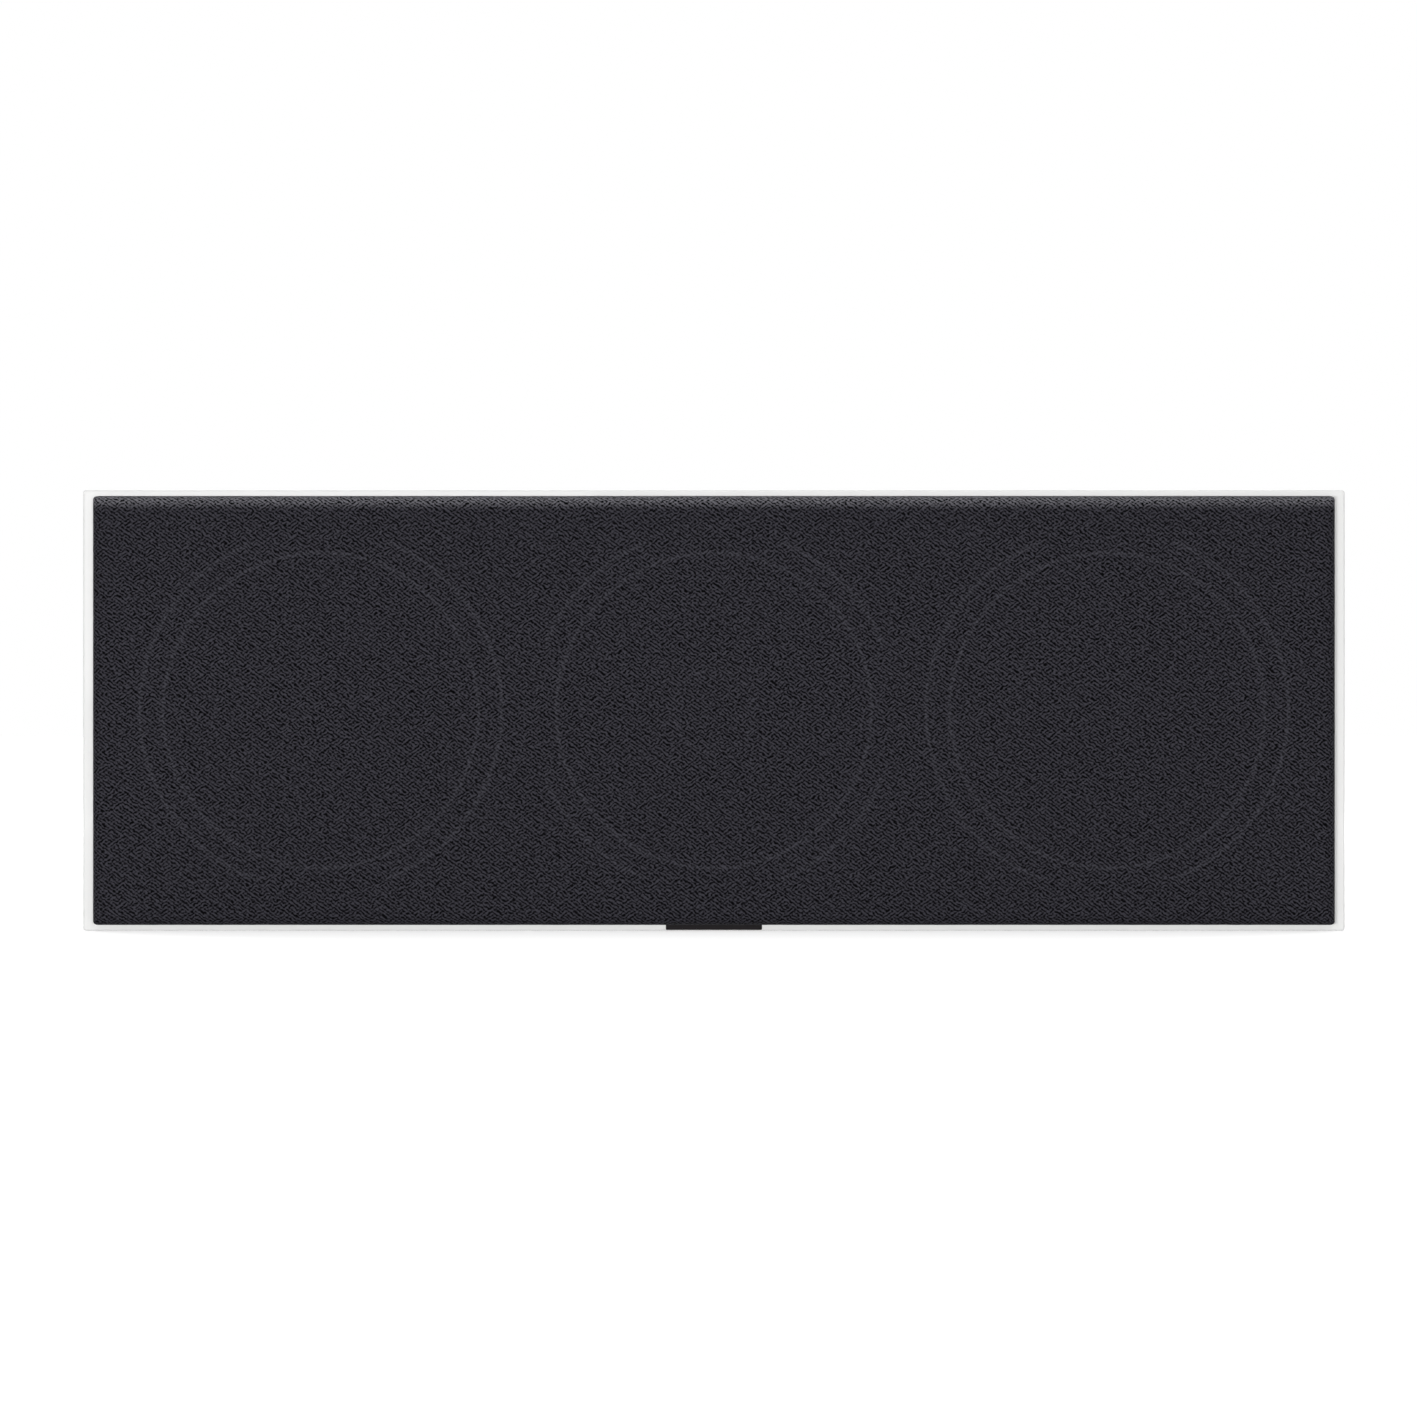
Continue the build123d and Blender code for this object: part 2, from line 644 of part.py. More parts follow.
def yoke():
    """Back plate and vented pole in one steel turning."""
    return lathe(polygon(
        (POLE_VENT_RADIUS, seat_back),
        (pole_radius, seat_back),
        (pole_radius, yoke_front),
        (TOP_PLATE_RADIUS, yoke_front),
        (TOP_PLATE_RADIUS, yoke_back - YOKE_CHAMFER),
        (TOP_PLATE_RADIUS - YOKE_CHAMFER, yoke_back),
        (POLE_VENT_RADIUS, yoke_back),
    ))


# Radii and depths of the tweeter, from its front rim inwards
throat_radius = DOME_RADIUS + DOME_TRAVEL
edge_radius = DOME_RADIUS + DOME_EDGE
slot_radius = edge_radius + DOME_TRAVEL
slot_half = DOME_TRAVEL + DOME_CLEARANCE
cup_inner = TWEETER_RADIUS - TWEETER_CUP_WALL - DOME_EDGE
cup_radius = cup_inner + TWEETER_CUP_WALL
waveguide_front = neck_depth - TWEETER_RISE
waveguide_back = waveguide_front + WAVEGUIDE_DEPTH
dome_back = waveguide_back - slot_half
dome_front = dome_back - DOME_THICKNESS
slot_front = dome_front - slot_half
cup_floor_front = waveguide_back + TWEETER_CUP_DEPTH
cup_floor_back = cup_floor_front + TWEETER_CUP_FLOOR


def tweeter_waveguide():
    """Short horn round the dome, with a slot behind it for the dome's edge."""
    mouth = TWEETER_RADIUS - TWEETER_RIM
    throat = slot_front - WAVEGUIDE_THROAT_LIP
    flare = ThreePointArc(
        (mouth, waveguide_front),
        middle_of_bulge((mouth, waveguide_front), (throat_radius, throat), WAVEGUIDE_THROAT_LIP / 2),
        (throat_radius, throat),
    )
    rest = Polyline(
        (throat_radius, throat),
        (throat_radius, slot_front),
        (slot_radius, slot_front),
        (slot_radius, waveguide_back),
        (TWEETER_RADIUS, waveguide_back),
        (TWEETER_RADIUS, waveguide_front),
        (mouth, waveguide_front),
    )
    return lathe(make_face([*flare.edges(), *rest.edges()]))


def tweeter_dome():
    """Metal dome with a flat edge and a short coil former."""
    swell = (DOME_RADIUS ** 2 + DOME_HEIGHT ** 2) / (2 * DOME_HEIGHT)
    half = DOME_RADIUS / 2
    apex = dome_back - DOME_HEIGHT
    shoulder = apex + swell - math.sqrt(swell ** 2 - half ** 2)
    path = [
        Line((edge_radius, dome_back), (DOME_RADIUS, dome_back)),
        ThreePointArc((DOME_RADIUS, dome_back), (half, shoulder), (0, apex)),
    ]
    dome = lathe(ribbon(path, DOME_THICKNESS, Side.RIGHT))
    former_back = dome_back + DOME_FORMER_LENGTH
    return dome + tube(DOME_RADIUS - DOME_THICKNESS, DOME_RADIUS, dome_front, former_back)


def tweeter_cup():
    """Steel cup behind the dome, with a pedestal on the pole and a stem in its vent."""
    stem = POLE_VENT_RADIUS - GLUE_LINE
    return lathe(polygon(
        (cup_inner, waveguide_back),
        (cup_radius, waveguide_back),
        (cup_radius, cup_floor_back),
        (TWEETER_PEDESTAL_RADIUS, cup_floor_back),
        (TWEETER_PEDESTAL_RADIUS, seat_back),
        (stem, seat_back),
        (stem, yoke_front),
        (0, yoke_front),
        (0, cup_floor_front),
        (cup_inner, cup_floor_front),
    ))


def tweeter_magnet():
    """Disc magnet on the cup's floor."""
    front = cup_floor_front - TWEETER_MAGNET_THICKNESS
    return Pos(0, 0, front) * extrude(Circle(TWEETER_MAGNET_RADIUS), TWEETER_MAGNET_THICKNESS)


# Terminal cup and posts, outwards from the cup's floor
cup_outer = rear_face + CUP_FLANGE
cup_floor = cup_outer - CUP_DEPTH
post_places = {"positive": -POST_PITCH / 2, "negative": POST_PITCH / 2}


def terminal_cup():
    """Moulded cup let into the rear board."""
    pocket_width = CUP_WIDTH - 2 * CUP_RIM
    pocket_height = CUP_HEIGHT - 2 * CUP_RIM
    flange = RectangleRounded(CUP_WIDTH, CUP_HEIGHT, CUP_CORNER)
    outside = RectangleRounded(pocket_width + 2 * CUP_WALL, pocket_height + 2 * CUP_WALL, CUP_CORNER)
    inside = RectangleRounded(pocket_width, pocket_height, CUP_CORNER - CUP_WALL)
    at_centre = Pos(0, centre_height)
    cup = upright(at_centre * flange, rear_face, cup_outer)
    cup += upright(at_centre * outside, cup_floor - CUP_FLOOR, rear_face)
    cup -= upright(at_centre * inside, cup_floor, cup_outer)
    hole = Circle(POST_RADIUS + TAIL_CLEARANCE)
    holes = Sketch() + [Pos(x, centre_height) * hole for x in post_places.values()]
    cup -= upright(holes, cup_floor - CUP_FLOOR, cup_floor)
    screw_hole = lathe(screw_outline(SCREW_CLEARANCE))
    return cup - [place * screw_hole for place in cup_screw_frames()]


def binding_post():
    """Turned post: threaded tail, collar, wire hole and a socket in its outer end."""
    tail = -CUP_FLOOR - POST_TAIL
    socket_floor = POST_LENGTH - SOCKET_LENGTH
    post = lathe(polygon(
        (0, tail),
        (POST_RADIUS, tail),
        (POST_RADIUS, 0),
        (POST_COLLAR_RADIUS, 0),
        (POST_COLLAR_RADIUS, POST_COLLAR),
        (POST_RADIUS, POST_COLLAR),
        (POST_RADIUS, POST_LENGTH),
        (SOCKET_RADIUS, POST_LENGTH),
        (SOCKET_RADIUS, socket_floor),
        (0, socket_floor),
    ))
    wire_hole = Rot(X=90) * Cylinder(WIRE_HOLE_RADIUS, 4 * POST_RADIUS)
    return post - Pos(0, 0, (POST_COLLAR + socket_floor) / 2) * wire_hole


def post_washer():
    """Plain washer between the collar and the thumb nut."""
    return tube(POST_RADIUS + TAIL_CLEARANCE, WASHER_RADIUS, POST_COLLAR, POST_COLLAR + WASHER_THICKNESS)


def thumb_nut():
    """Fluted thumb nut that runs on the post's thread."""
    front = POST_COLLAR + WASHER_THICKNESS
    back = front + NUT_LENGTH
    bore = POST_RADIUS + THREAD_CLEARANCE
    body = lathe(polygon(
        (bore, front),
        (NUT_RADIUS, front),
        (NUT_RADIUS, back - NUT_CHAMFER),
        (NUT_RADIUS - NUT_CHAMFER, back),
        (bore, back),
    ))
    flute = Pos(NUT_RADIUS, 0, front) * extrude(Circle(NUT_FLUTE_RADIUS), NUT_LENGTH)
    return body - around(flute, NUT_FLUTES)


def lock_nut():
    """Hexagon nut behind the cup's floor."""
    hexagon = RegularPolygon(LOCK_NUT_ACROSS / 2, 6, major_radius=False)
    hexagon -= Circle(POST_RADIUS + THREAD_CLEARANCE)
    return Pos(0, 0, -CUP_FLOOR - LOCK_NUT_HEIGHT) * extrude(hexagon, LOCK_NUT_HEIGHT)


# Crossover board and its parts
board_middle = rear_inside - BOARD_REAR_GAP - BOARD_DEPTH / 2
board_under = WALL_THICKNESS + PILLAR_HEIGHT
board_top = board_under + BOARD_THICKNESS
lead_height = centre_height - seat_radius - LUG_LENGTH - TAG_LENGTH / 2
inductor_x = INDUCTOR_RADIUS * 2
inductor_y = board_middle - BOARD_DEPTH / 2 + INDUCTOR_RADIUS + PART_SPACING
capacitor_y = inductor_y + INDUCTOR_RADIUS + PART_SPACING + CAPACITOR_RADIUS + 2 * LEAD_RADIUS
capacitor_pitch = 2 * CAPACITOR_RADIUS + PART_SPACING
resistor_pitch = RESISTOR_WIDTH + PART_SPACING
pillar_places = [
    (sx * (BOARD_LENGTH / 2 - PILLAR_INSET), board_middle + sy * (BOARD_DEPTH / 2 - PILLAR_INSET))
    for sx in (-1, 1) for sy in (-1, 1)
]


def crossover_board():
    """Printed circuit board on pillars."""
    outline = Rectangle(BOARD_LENGTH, BOARD_DEPTH)
    hole = Circle(PILLAR_PIN_RADIUS + SCREW_CLEARANCE)
    board = extrude(Pos(0, board_middle) * outline, BOARD_THICKNESS)
    board -= [Pos(x, y) * extrude(hole, BOARD_THICKNESS) for x, y in pillar_places]
    return Pos(0, 0, board_under) * board


def board_pillars():
    """Nylon pillars that stand on the floor and snap through the board."""
    head_base = board_top + GLUE_LINE
    pillar = lathe(polygon(
        (0, WALL_THICKNESS),
        (PILLAR_RADIUS, WALL_THICKNESS),
        (PILLAR_RADIUS, board_under),
        (PILLAR_PIN_RADIUS, board_under),
        (PILLAR_PIN_RADIUS, head_base),
        (PILLAR_HEAD_RADIUS, head_base),
        (PILLAR_PIN_RADIUS, head_base + PILLAR_HEAD_HEIGHT),
        (0, head_base + PILLAR_HEAD_HEIGHT),
    ))
    return Compound([Pos(x, y, 0) * pillar for x, y in pillar_places])


def inductors():
    """Air-cored coils standing on the board."""
    coil = tube(INDUCTOR_BORE, INDUCTOR_RADIUS, board_top, board_top + INDUCTOR_HEIGHT)
    return Compound([Pos(side * inductor_x, inductor_y, 0) * coil for side in (-1, 1)])


def capacitors():
    """Upright electrolytic capacitors."""
    can = extrude(Circle(CAPACITOR_RADIUS), CAPACITOR_HEIGHT)
    can = Pos(0, 0, board_top) * fillet(can.edges().sort_by(Axis.Z)[-1], CAPACITOR_ROUND)
    return Compound([Pos(-k * capacitor_pitch, capacitor_y, 0) * can for k in range(3)])


def resistors():
    """Cement resistors lying on the board."""
    block = Box(RESISTOR_LENGTH, RESISTOR_WIDTH, RESISTOR_WIDTH)
    block = chamfer(block.edges().filter_by(Axis.X), CAPACITOR_ROUND)
    x = CAPACITOR_RADIUS + PART_SPACING + RESISTOR_LENGTH / 2
    z = board_top + RESISTOR_WIDTH / 2
    return Compound([Pos(x, capacitor_y + k * resistor_pitch, z) * block for k in (0, -1)])


def lead(*points):
    """Round lead along straight runs with rounded corners."""
    path = FilletPolyline(*points, radius=LEAD_BEND)
    section = Plane(origin=path @ 0, z_dir=path % 0) * Circle(LEAD_RADIUS)
    return sweep(section, path)


def internal_leads():
    """Leads from the board to each drive unit's tags, and from the posts to the board."""
    tag_y = baffle_face + seat_back + (TAG_STRIP_THICKNESS + TAG_THICKNESS) / 2
    board_front = board_middle - BOARD_DEPTH / 2
    board_rear = board_middle + BOARD_DEPTH / 2
    edge_x = BOARD_LENGTH / 2 - 2 * LEAD_RADIUS
    leads = []
    for x in driver_places.values():
        side = math.copysign(1, x) if x else 0
        turn_y = board_middle if side else board_front + 2 * LEAD_RADIUS
        points = [(x, tag_y, lead_height), (x, turn_y, lead_height)]
        if side:
            points.append((side * edge_x, turn_y, lead_height))
        points.append((side * edge_x, turn_y, board_top))
        leads.append(lead(*points))
    tail_y = cup_floor - CUP_FLOOR - POST_TAIL
    drop_y = board_rear - 2 * LEAD_RADIUS
    for x in post_places.values():
        leads.append(lead((x, tail_y, centre_height), (x, drop_y, centre_height), (x, drop_y, board_top)))
    return Compound(leads)


def panel_screws():
    """All the countersunk screws, in the drive units' flanges and the terminal cup's rim."""
    places = [place for x in driver_places.values() for place in driver_screw_frames(x)]
    return Compound([place * screw() for place in places + cup_screw_frames()])


nodes = {
    "cabinet_shell": cabinet_shell(),
    "front_baffle": front_baffle(),
    "rear_panel": rear_panel(),
    "wadding_pads": wadding_pads(),
    "badge_plate": badge_plate(),
    "grille_frame": grille_frame(),
    "grille_cloth": grille_cloth(),
    "grille_magnets": grille_magnets(),
    "baffle_keepers": baffle_keepers(),
    "panel_screws": panel_screws(),
    "terminal_cup": terminal_cup(),
    "crossover_board": crossover_board(),
    "board_pillars": board_pillars(),
    "inductors": inductors(),
    "capacitors": capacitors(),
    "resistors": resistors(),
    "internal_leads": internal_leads(),
}
for name, x in brace_places.items():
    nodes[name] = brace(x)

unit_parts = {
    "trim_ring": trim_ring(),
    "basket": basket(),
    "surround": surround(),
    "cone": cone(),
    "spider": spider(),
    "voice_coil": voice_coil(),
    "top_plate": top_plate(),
    "ring_magnet": ring_magnet(),
    "yoke": yoke(),
}
woofer_parts = {"dust_cap": dust_cap()}
tweeter_parts = {
    "tweeter_waveguide": tweeter_waveguide(),
    "tweeter_dome": tweeter_dome(),
    "tweeter_magnet": tweeter_magnet(),
    "tweeter_cup": tweeter_cup(),
}
strips = []
for unit, x in driver_places.items():
    place = facing_back(x, baffle_face, centre_height)
    own_parts = unit_parts if unit == "coaxial" else {**unit_parts, **woofer_parts}
    nodes.update({f"{unit}_{part}": place * shape for part, shape in own_parts.items()})
    if unit == "coaxial":
        nodes.update({part: place * shape for part, shape in tweeter_parts.items()})
    strips.append(place * tag_strip())
nodes["driver_tag_strips"] = Compound(strips)

lock_nuts = []
for pole, x in post_places.items():
    place = facing_back(x, cup_floor, centre_height)
    nodes[f"{pole}_post"] = place * binding_post()
    nodes[f"{pole}_washer"] = place * post_washer()
    nodes[f"{pole}_thumb_nut"] = place * thumb_nut()
    lock_nuts.append(place * lock_nut())
nodes["post_lock_nuts"] = Compound(lock_nuts)

os.makedirs("parts", exist_ok=True)
for name, shape in nodes.items():
    export_step(shape, f"parts/{name}.step")
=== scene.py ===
"""Centre channel loudspeaker: finishes, cloth, surrounds, wadding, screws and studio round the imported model.

Metres, +Z up, the grille faces -Y. Every piece keeps its place in its mesh, with its object at the origin.
"""
import math

import bmesh
import bpy
from bpy.props import FloatProperty, FloatVectorProperty, IntProperty, PointerProperty
from mathutils import Matrix, Vector, noise


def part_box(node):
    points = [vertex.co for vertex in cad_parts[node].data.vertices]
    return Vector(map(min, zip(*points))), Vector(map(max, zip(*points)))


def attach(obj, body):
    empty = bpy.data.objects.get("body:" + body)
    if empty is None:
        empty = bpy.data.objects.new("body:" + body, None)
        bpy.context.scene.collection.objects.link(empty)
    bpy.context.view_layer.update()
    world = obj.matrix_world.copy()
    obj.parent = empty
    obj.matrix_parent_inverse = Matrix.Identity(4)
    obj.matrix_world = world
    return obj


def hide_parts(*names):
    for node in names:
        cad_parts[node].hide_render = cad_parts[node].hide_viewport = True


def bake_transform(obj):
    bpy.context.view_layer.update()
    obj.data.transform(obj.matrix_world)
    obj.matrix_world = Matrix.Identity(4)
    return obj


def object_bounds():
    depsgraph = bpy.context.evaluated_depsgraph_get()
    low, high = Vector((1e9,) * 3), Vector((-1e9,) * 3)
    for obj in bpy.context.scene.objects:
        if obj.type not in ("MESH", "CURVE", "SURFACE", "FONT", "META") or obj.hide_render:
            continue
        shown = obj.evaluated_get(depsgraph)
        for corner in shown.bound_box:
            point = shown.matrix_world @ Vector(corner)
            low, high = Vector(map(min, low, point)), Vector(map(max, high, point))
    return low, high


bl_info = {
    "name": "Centre Channel Loudspeaker",
    "version": (1, 0, 0),
    "blender": (4, 5, 0),
    "location": "3D View > Sidebar > Loudspeaker",
    "description": "Dresses a packed centre loudspeaker with its finishes, cloth, rubber edges and studio",
    "category": "Object",
}

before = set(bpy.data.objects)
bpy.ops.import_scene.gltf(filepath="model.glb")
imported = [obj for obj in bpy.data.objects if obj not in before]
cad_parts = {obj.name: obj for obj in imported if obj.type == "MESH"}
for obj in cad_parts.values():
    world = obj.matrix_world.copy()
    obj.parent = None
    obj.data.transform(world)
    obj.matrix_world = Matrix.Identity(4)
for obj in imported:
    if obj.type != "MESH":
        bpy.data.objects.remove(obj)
CAD_BOX = [list(corner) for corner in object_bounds()]

MM = 0.001
CONE_BODIES = {"left_woofer": "left_cone", "coaxial": "coaxial_cone", "right_woofer": "right_cone"}

# Places read from the frame
CLOTH_LOW, CLOTH_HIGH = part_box("grille_cloth")
BAFFLE_LOW, BAFFLE_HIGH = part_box("front_baffle")
PLATE_LOW, PLATE_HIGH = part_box("badge_plate")
WAVEGUIDE_LOW, WAVEGUIDE_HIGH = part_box("tweeter_waveguide")
BAFFLE_FACE = BAFFLE_LOW.y
CABINET_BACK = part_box("rear_panel")[1].y
CENTRE_HEIGHT = (BAFFLE_LOW.z + BAFFLE_HIGH.z) / 2
UNIT_PITCH = sum(corner.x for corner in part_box("right_woofer_cone")) / 2
TWEETER_RADIUS = (WAVEGUIDE_HIGH.x - WAVEGUIDE_LOW.x) / 2

# Sizes that no box in the frame gives: the trim rings' bright edge and the grille frame's windows
RIM_RADIUS = 78.8 * MM
RIM_HALF_WIDTH = 0.7 * MM
WINDOW_RADIUS = 90.3 * MM
WINDOW_HALF_HEIGHT = 83.8 * MM

# Steps of the cloth's mesh over the frame's edge, down its side and along the hem
EDGE_STEPS, SIDE_STEPS, HEM_STEPS = 8, 3, 2

# Gaps that the cloth leaves to the baffle and the plate, and its two columns on either side of the plate
HEM_CLEARANCE, PLATE_CLEARANCE = 0.05 * MM, 0.45 * MM
NOTCH_STEPS = (0.15 * MM, 0.35 * MM)
NOTCH_EDGE = PLATE_HIGH.x + sum(NOTCH_STEPS) / 2

# Run over which the cloth draws in at a window's edge, and how near its points lie before they are merged
GIVE_RUN, WELD_DISTANCE = 6.0 * MM, 0.02 * MM

# Weave of the cloth in millimetres: between strands, between changes of their slant, and between knots
STRAND_SPACING, PATCH_SPACING, KNOT_SPACING = 1.6, 4.5, 1.25
STRAND_SLANT = math.radians(36.0)
KNOT_SHARE = 0.52

# Painted highlight along the cloth's top, for light falling on its rounded top edge: how far below the edge it
# begins and is full, and its share there
TOP_HIGHLIGHT_START, TOP_HIGHLIGHT_FULL, TOP_HIGHLIGHT_SHARE = 7.5 * MM, 0.5 * MM, 0.95

# Painted light on the cloth where bright edges behind it would show through: the radius of each line, half its
# width, and how strongly it shows
RIM_LINE = (RIM_RADIUS - 0.4 * MM, 1.5 * MM)
WINDOW_LINE = (WINDOW_RADIUS - 0.3 * MM, 1.6 * MM)
TWEETER_LINE = (TWEETER_RADIUS, 1.6 * MM)
TWEETER_LINE_SHARE = 0.4
PAINTED_LINE_STRENGTH = 0.42
LINES_REACH = UNIT_PITCH * 1.5 - 3.0 * MM

# Wadding: cuts along a pad's edges, lumps to the metre, and how far a pad's own size shifts their pattern
PAD_CUTS, PAD_LUMPS, PAD_SHIFT = 26, 38.0, 50.0

# Surrounds and screws: steps of their meshes, a recess's floor as a share of its mouth, and the turns' seed
ROLL_STEPS, RING_STEPS, SCREW_STEPS = 10, 128, 24
RECESS_TAPER = 0.7
SCREW_SEED = 11

# Raw fibreboard's fibres in millimetres and their two tones, and how deep the lacquer's white goes in
FIBRE_SPACING = 1.6
FIBRE_TONES = ("#8A6A48", "#B3925F")
LACQUER_DEPTH = 1.2 * MM

# A wave texture of scale 1 repeats over this length
WAVE_LENGTH = 2 * math.pi / 20

# Studio, in metres: sizes and places of the lights, the floor's whiter part far off, and the camera's place
AHEAD, DOWN = (0.0, 1.0, 0.0), (0.0, 0.0, -1.0)
LIGHT_SETBACK = 0.1
FRONT_SIZE, FRONT_ACROSS, FRONT_HEIGHT = (1.2, 0.1), -0.15, 0.055
SOFTBOX_SIZE, SOFTBOX_CORNER = (1.1, 0.9), (-0.12, 0.127)
OVERHEAD_SIZE, OVERHEAD_PLACE = (2.2, 1.2), (0.0, 0.35, 2.1)
FILL_SIZE, FILL_ACROSS, FILL_BACK, FILL_HEIGHT = (1.6, 1.6), 2.5, 2.3, 1.0
FLOOR_HALF_WIDTH = 20.0
FLOOR_NEAR, FLOOR_FAR = 0.9, 2.4
FLOOR_LIFT_NEAR, FLOOR_LIFT_FAR = 0.72, 1.0
CAMERA_ACROSS, CAMERA_HEIGHT = -2.7 * MM, 111.0 * MM
SENSOR_MM = 36.0


def linear(hex_colour):
    """An sRGB hex colour as linear red, green, blue and alpha."""
    value = hex_colour.lstrip("#")
    channels = [int(value[k:k + 2], 16) / 255 for k in (0, 2, 4)]
    return [c / 12.92 if c <= 0.04045 else ((c + 0.055) / 1.055) ** 2.4 for c in channels] + [1.0]


def colour_property(label, about, hex_colour):
    """A colour that a user may change."""
    return FloatVectorProperty(
        name=label, description=about, subtype="COLOR", size=4, min=0.0, max=1.0, default=linear(hex_colour)
    )


def length_property(label, about, millimetres):
    """A length that a user may change."""
    return FloatProperty(
        name=label, description=about, subtype="DISTANCE", unit="LENGTH", min=0.0, max=1.0, precision=5,
        default=millimetres * MM,
    )


def level_property(label, about, level):
    """A brightness that a user may change."""
    return FloatProperty(name=label, description=about, min=0.0, default=level)


class LoudspeakerSizes(bpy.types.PropertyGroup):
    """Sizes of the pieces that are modelled here."""

    cloth_edge_roll: length_property("Cloth edge roll", "Radius of the cloth over the frame's edge", 6.0)
    cloth_corner: length_property("Cloth corner", "Radius of the grille's corners seen from the front", 2.5)
    cloth_thickness: length_property("Cloth thickness", "Thickness of the grille cloth", 0.8)
    cloth_hem: length_property("Cloth hem", "Width of cloth glued to the frame's back", 7.0)
    cloth_give: length_property("Cloth give", "How far the cloth draws in over a window of the frame", 0.25)
    cloth_step: length_property("Cloth step", "Spacing of the cloth's mesh", 2.4)
    surround_roll: length_property("Surround roll", "Width of the rubber half roll", 12.0)
    surround_height: length_property("Surround height", "Height of the rubber half roll", 5.0)
    surround_thickness: length_property("Surround thickness", "Thickness of the rubber", 1.0)
    surround_land: length_property("Surround land", "Width of the roll's flat land on the basket", 4.3)
    cone_lip: length_property("Cone lip", "Width of the rubber glued to the cone", 4.0)
    wadding_round: length_property("Wadding round", "Radius of the wadding's soft edges", 8.0)
    wadding_loft: length_property("Wadding loft", "Depth of the hollows between the wadding's lumps", 3.0)
    wadding_seed: IntProperty(name="Wadding seed", description="Seed of the lumps", min=0, default=7)
    screw_head: length_property("Screw head", "Radius of a countersunk head", 4.0)
    screw_countersink: length_property("Screw countersink", "Height of a head's taper", 2.2)
    screw_shank: length_property("Screw shank", "Radius of a screw's shank", 2.0)
    screw_point: length_property("Screw point", "Length of a screw's point", 3.0)
    screw_length: length_property("Screw length", "Length of a screw", 13.0)
    recess_width: length_property("Recess width", "Width of the cross recess's arms", 1.0)
    recess_reach: length_property("Recess reach", "Length of a cross recess arm", 2.3)
    recess_depth: length_property("Recess depth", "Depth of the cross recess", 1.4)


class LoudspeakerColours(bpy.types.PropertyGroup):
    """Colours of the finishes."""

    lacquer: colour_property("Lacquer", "Gloss lacquer of the cabinet", "#F3F3F2")
    cloth: colour_property("Cloth", "Raised strands of the grille cloth", "#3E3D44")
    cloth_shadow: colour_property("Cloth shadow", "Hollows between the grille cloth's strands", "#030304")
    black_plastic: colour_property("Black plastic", "Mouldings of the grille, trims and terminals", "#1A1A1C")
    plate: colour_property("Plate", "Plain plate under the grille", "#201D1F")
    rubber: colour_property("Rubber", "Surrounds", "#161617")
    cone: colour_property("Cone", "Anodised cones and dust caps", "#3A3B3F")
    positive: colour_property("Positive terminal", "Thumb nut of the positive terminal", "#B01218")


class LoudspeakerStudio(bpy.types.PropertyGroup):
    """Camera and light."""

    camera_distance: FloatProperty(
        name="Camera distance", description="Distance from the lens to the baffle", unit="LENGTH", min=0.5,
        default=3.0,
    )
    view_width: FloatProperty(
        name="View width", description="Width of the picture at the baffle", unit="LENGTH", min=0.1,
        default=0.7074,
    )
    front_radiance: level_property("Front light", "Brightness of the low panel under the camera", 186.0)
    softbox_radiance: level_property("Softbox", "Brightness of the softbox up to the camera's left", 1.3)
    overhead_radiance: level_property("Overhead", "Brightness of the panel above the loudspeaker", 2.0)
    fill_radiance: level_property("Rear fill", "Brightness of the two panels behind the loudspeaker", 5.0)
    horizon: level_property("Horizon", "Even light from the sides", 0.10)
    zenith: level_property("Zenith", "Even light from above", 0.30)


# Materials


def feed(tree, node, inputs):
    """Gives each input of a node its value, or the socket that feeds it."""
    for key, value in inputs.items():
        if isinstance(value, bpy.types.NodeSocket):
            tree.links.new(value, node.inputs[key])
        else:
            node.inputs[key].default_value = value


def add(tree, kind, inputs=None, **settings):
    """Adds a node to a tree, with its settings and what goes into it; gives its outputs.

    A Mix node's sockets go by number, because their names repeat: 2 and 3 take numbers, 6 and 7 take colours,
    and outputs 0 and 2 give them.
    """
    node = tree.nodes.new(kind)
    for key, value in settings.items():
        setattr(node, key, value)
    feed(tree, node, inputs or {})
    return node.outputs


def finish(name, constants):
    """A material with a Principled surface; gives it, its tree, its shader and its Object coordinates."""
    material = bpy.data.materials.new(name)
    material.use_nodes = True
    tree = material.node_tree
    shader = tree.nodes["Principled BSDF"]
    feed(tree, shader, constants)
    return material, tree, shader, add(tree, "ShaderNodeTexCoord")["Object"]


def surface(tree, shader, tone, gloss, relief):
    """Feeds a shader its colour and roughness, each a pattern with its two ends, and its relief in mm."""
    feed(tree, shader, {
        "Base Color": add(tree, "ShaderNodeMix", {0: tone[0], 6: tone[1], 7: tone[2]}, data_type="RGBA")[2],
        "Roughness": add(tree, "ShaderNodeMapRange", {
            "Value": gloss[0], "To Min": gloss[1], "To Max": gloss[2],
        })["Result"],
        "Normal": add(tree, "ShaderNodeBump", {"Height": relief[0], "Distance": relief[1] * MM})["Normal"],
    })


def per_metre(millimetres):
    """Texture scale whose pattern repeats about every so many millimetres."""
    return 1.0 / (millimetres * MM)


def shade(colour, factor):
    """A colour made darker or lighter."""
    return [min(1.0, c * factor) for c in colour[:3]] + [1.0]


def grained(name, low, high, grain_mm, roughness, relief_mm, constants=None, detail=4.0):
    """A surface whose tone, gloss and relief all follow one grain of a real size."""
    material, tree, shader, place = finish(name, constants or {})
    grain = add(tree, "ShaderNodeTexNoise", {
        "Vector": place, "Scale": per_metre(grain_mm), "Detail": detail,
    })["Fac"]
    surface(tree, shader, (grain, low, high), (grain, *roughness), (grain, relief_mm))
    return material


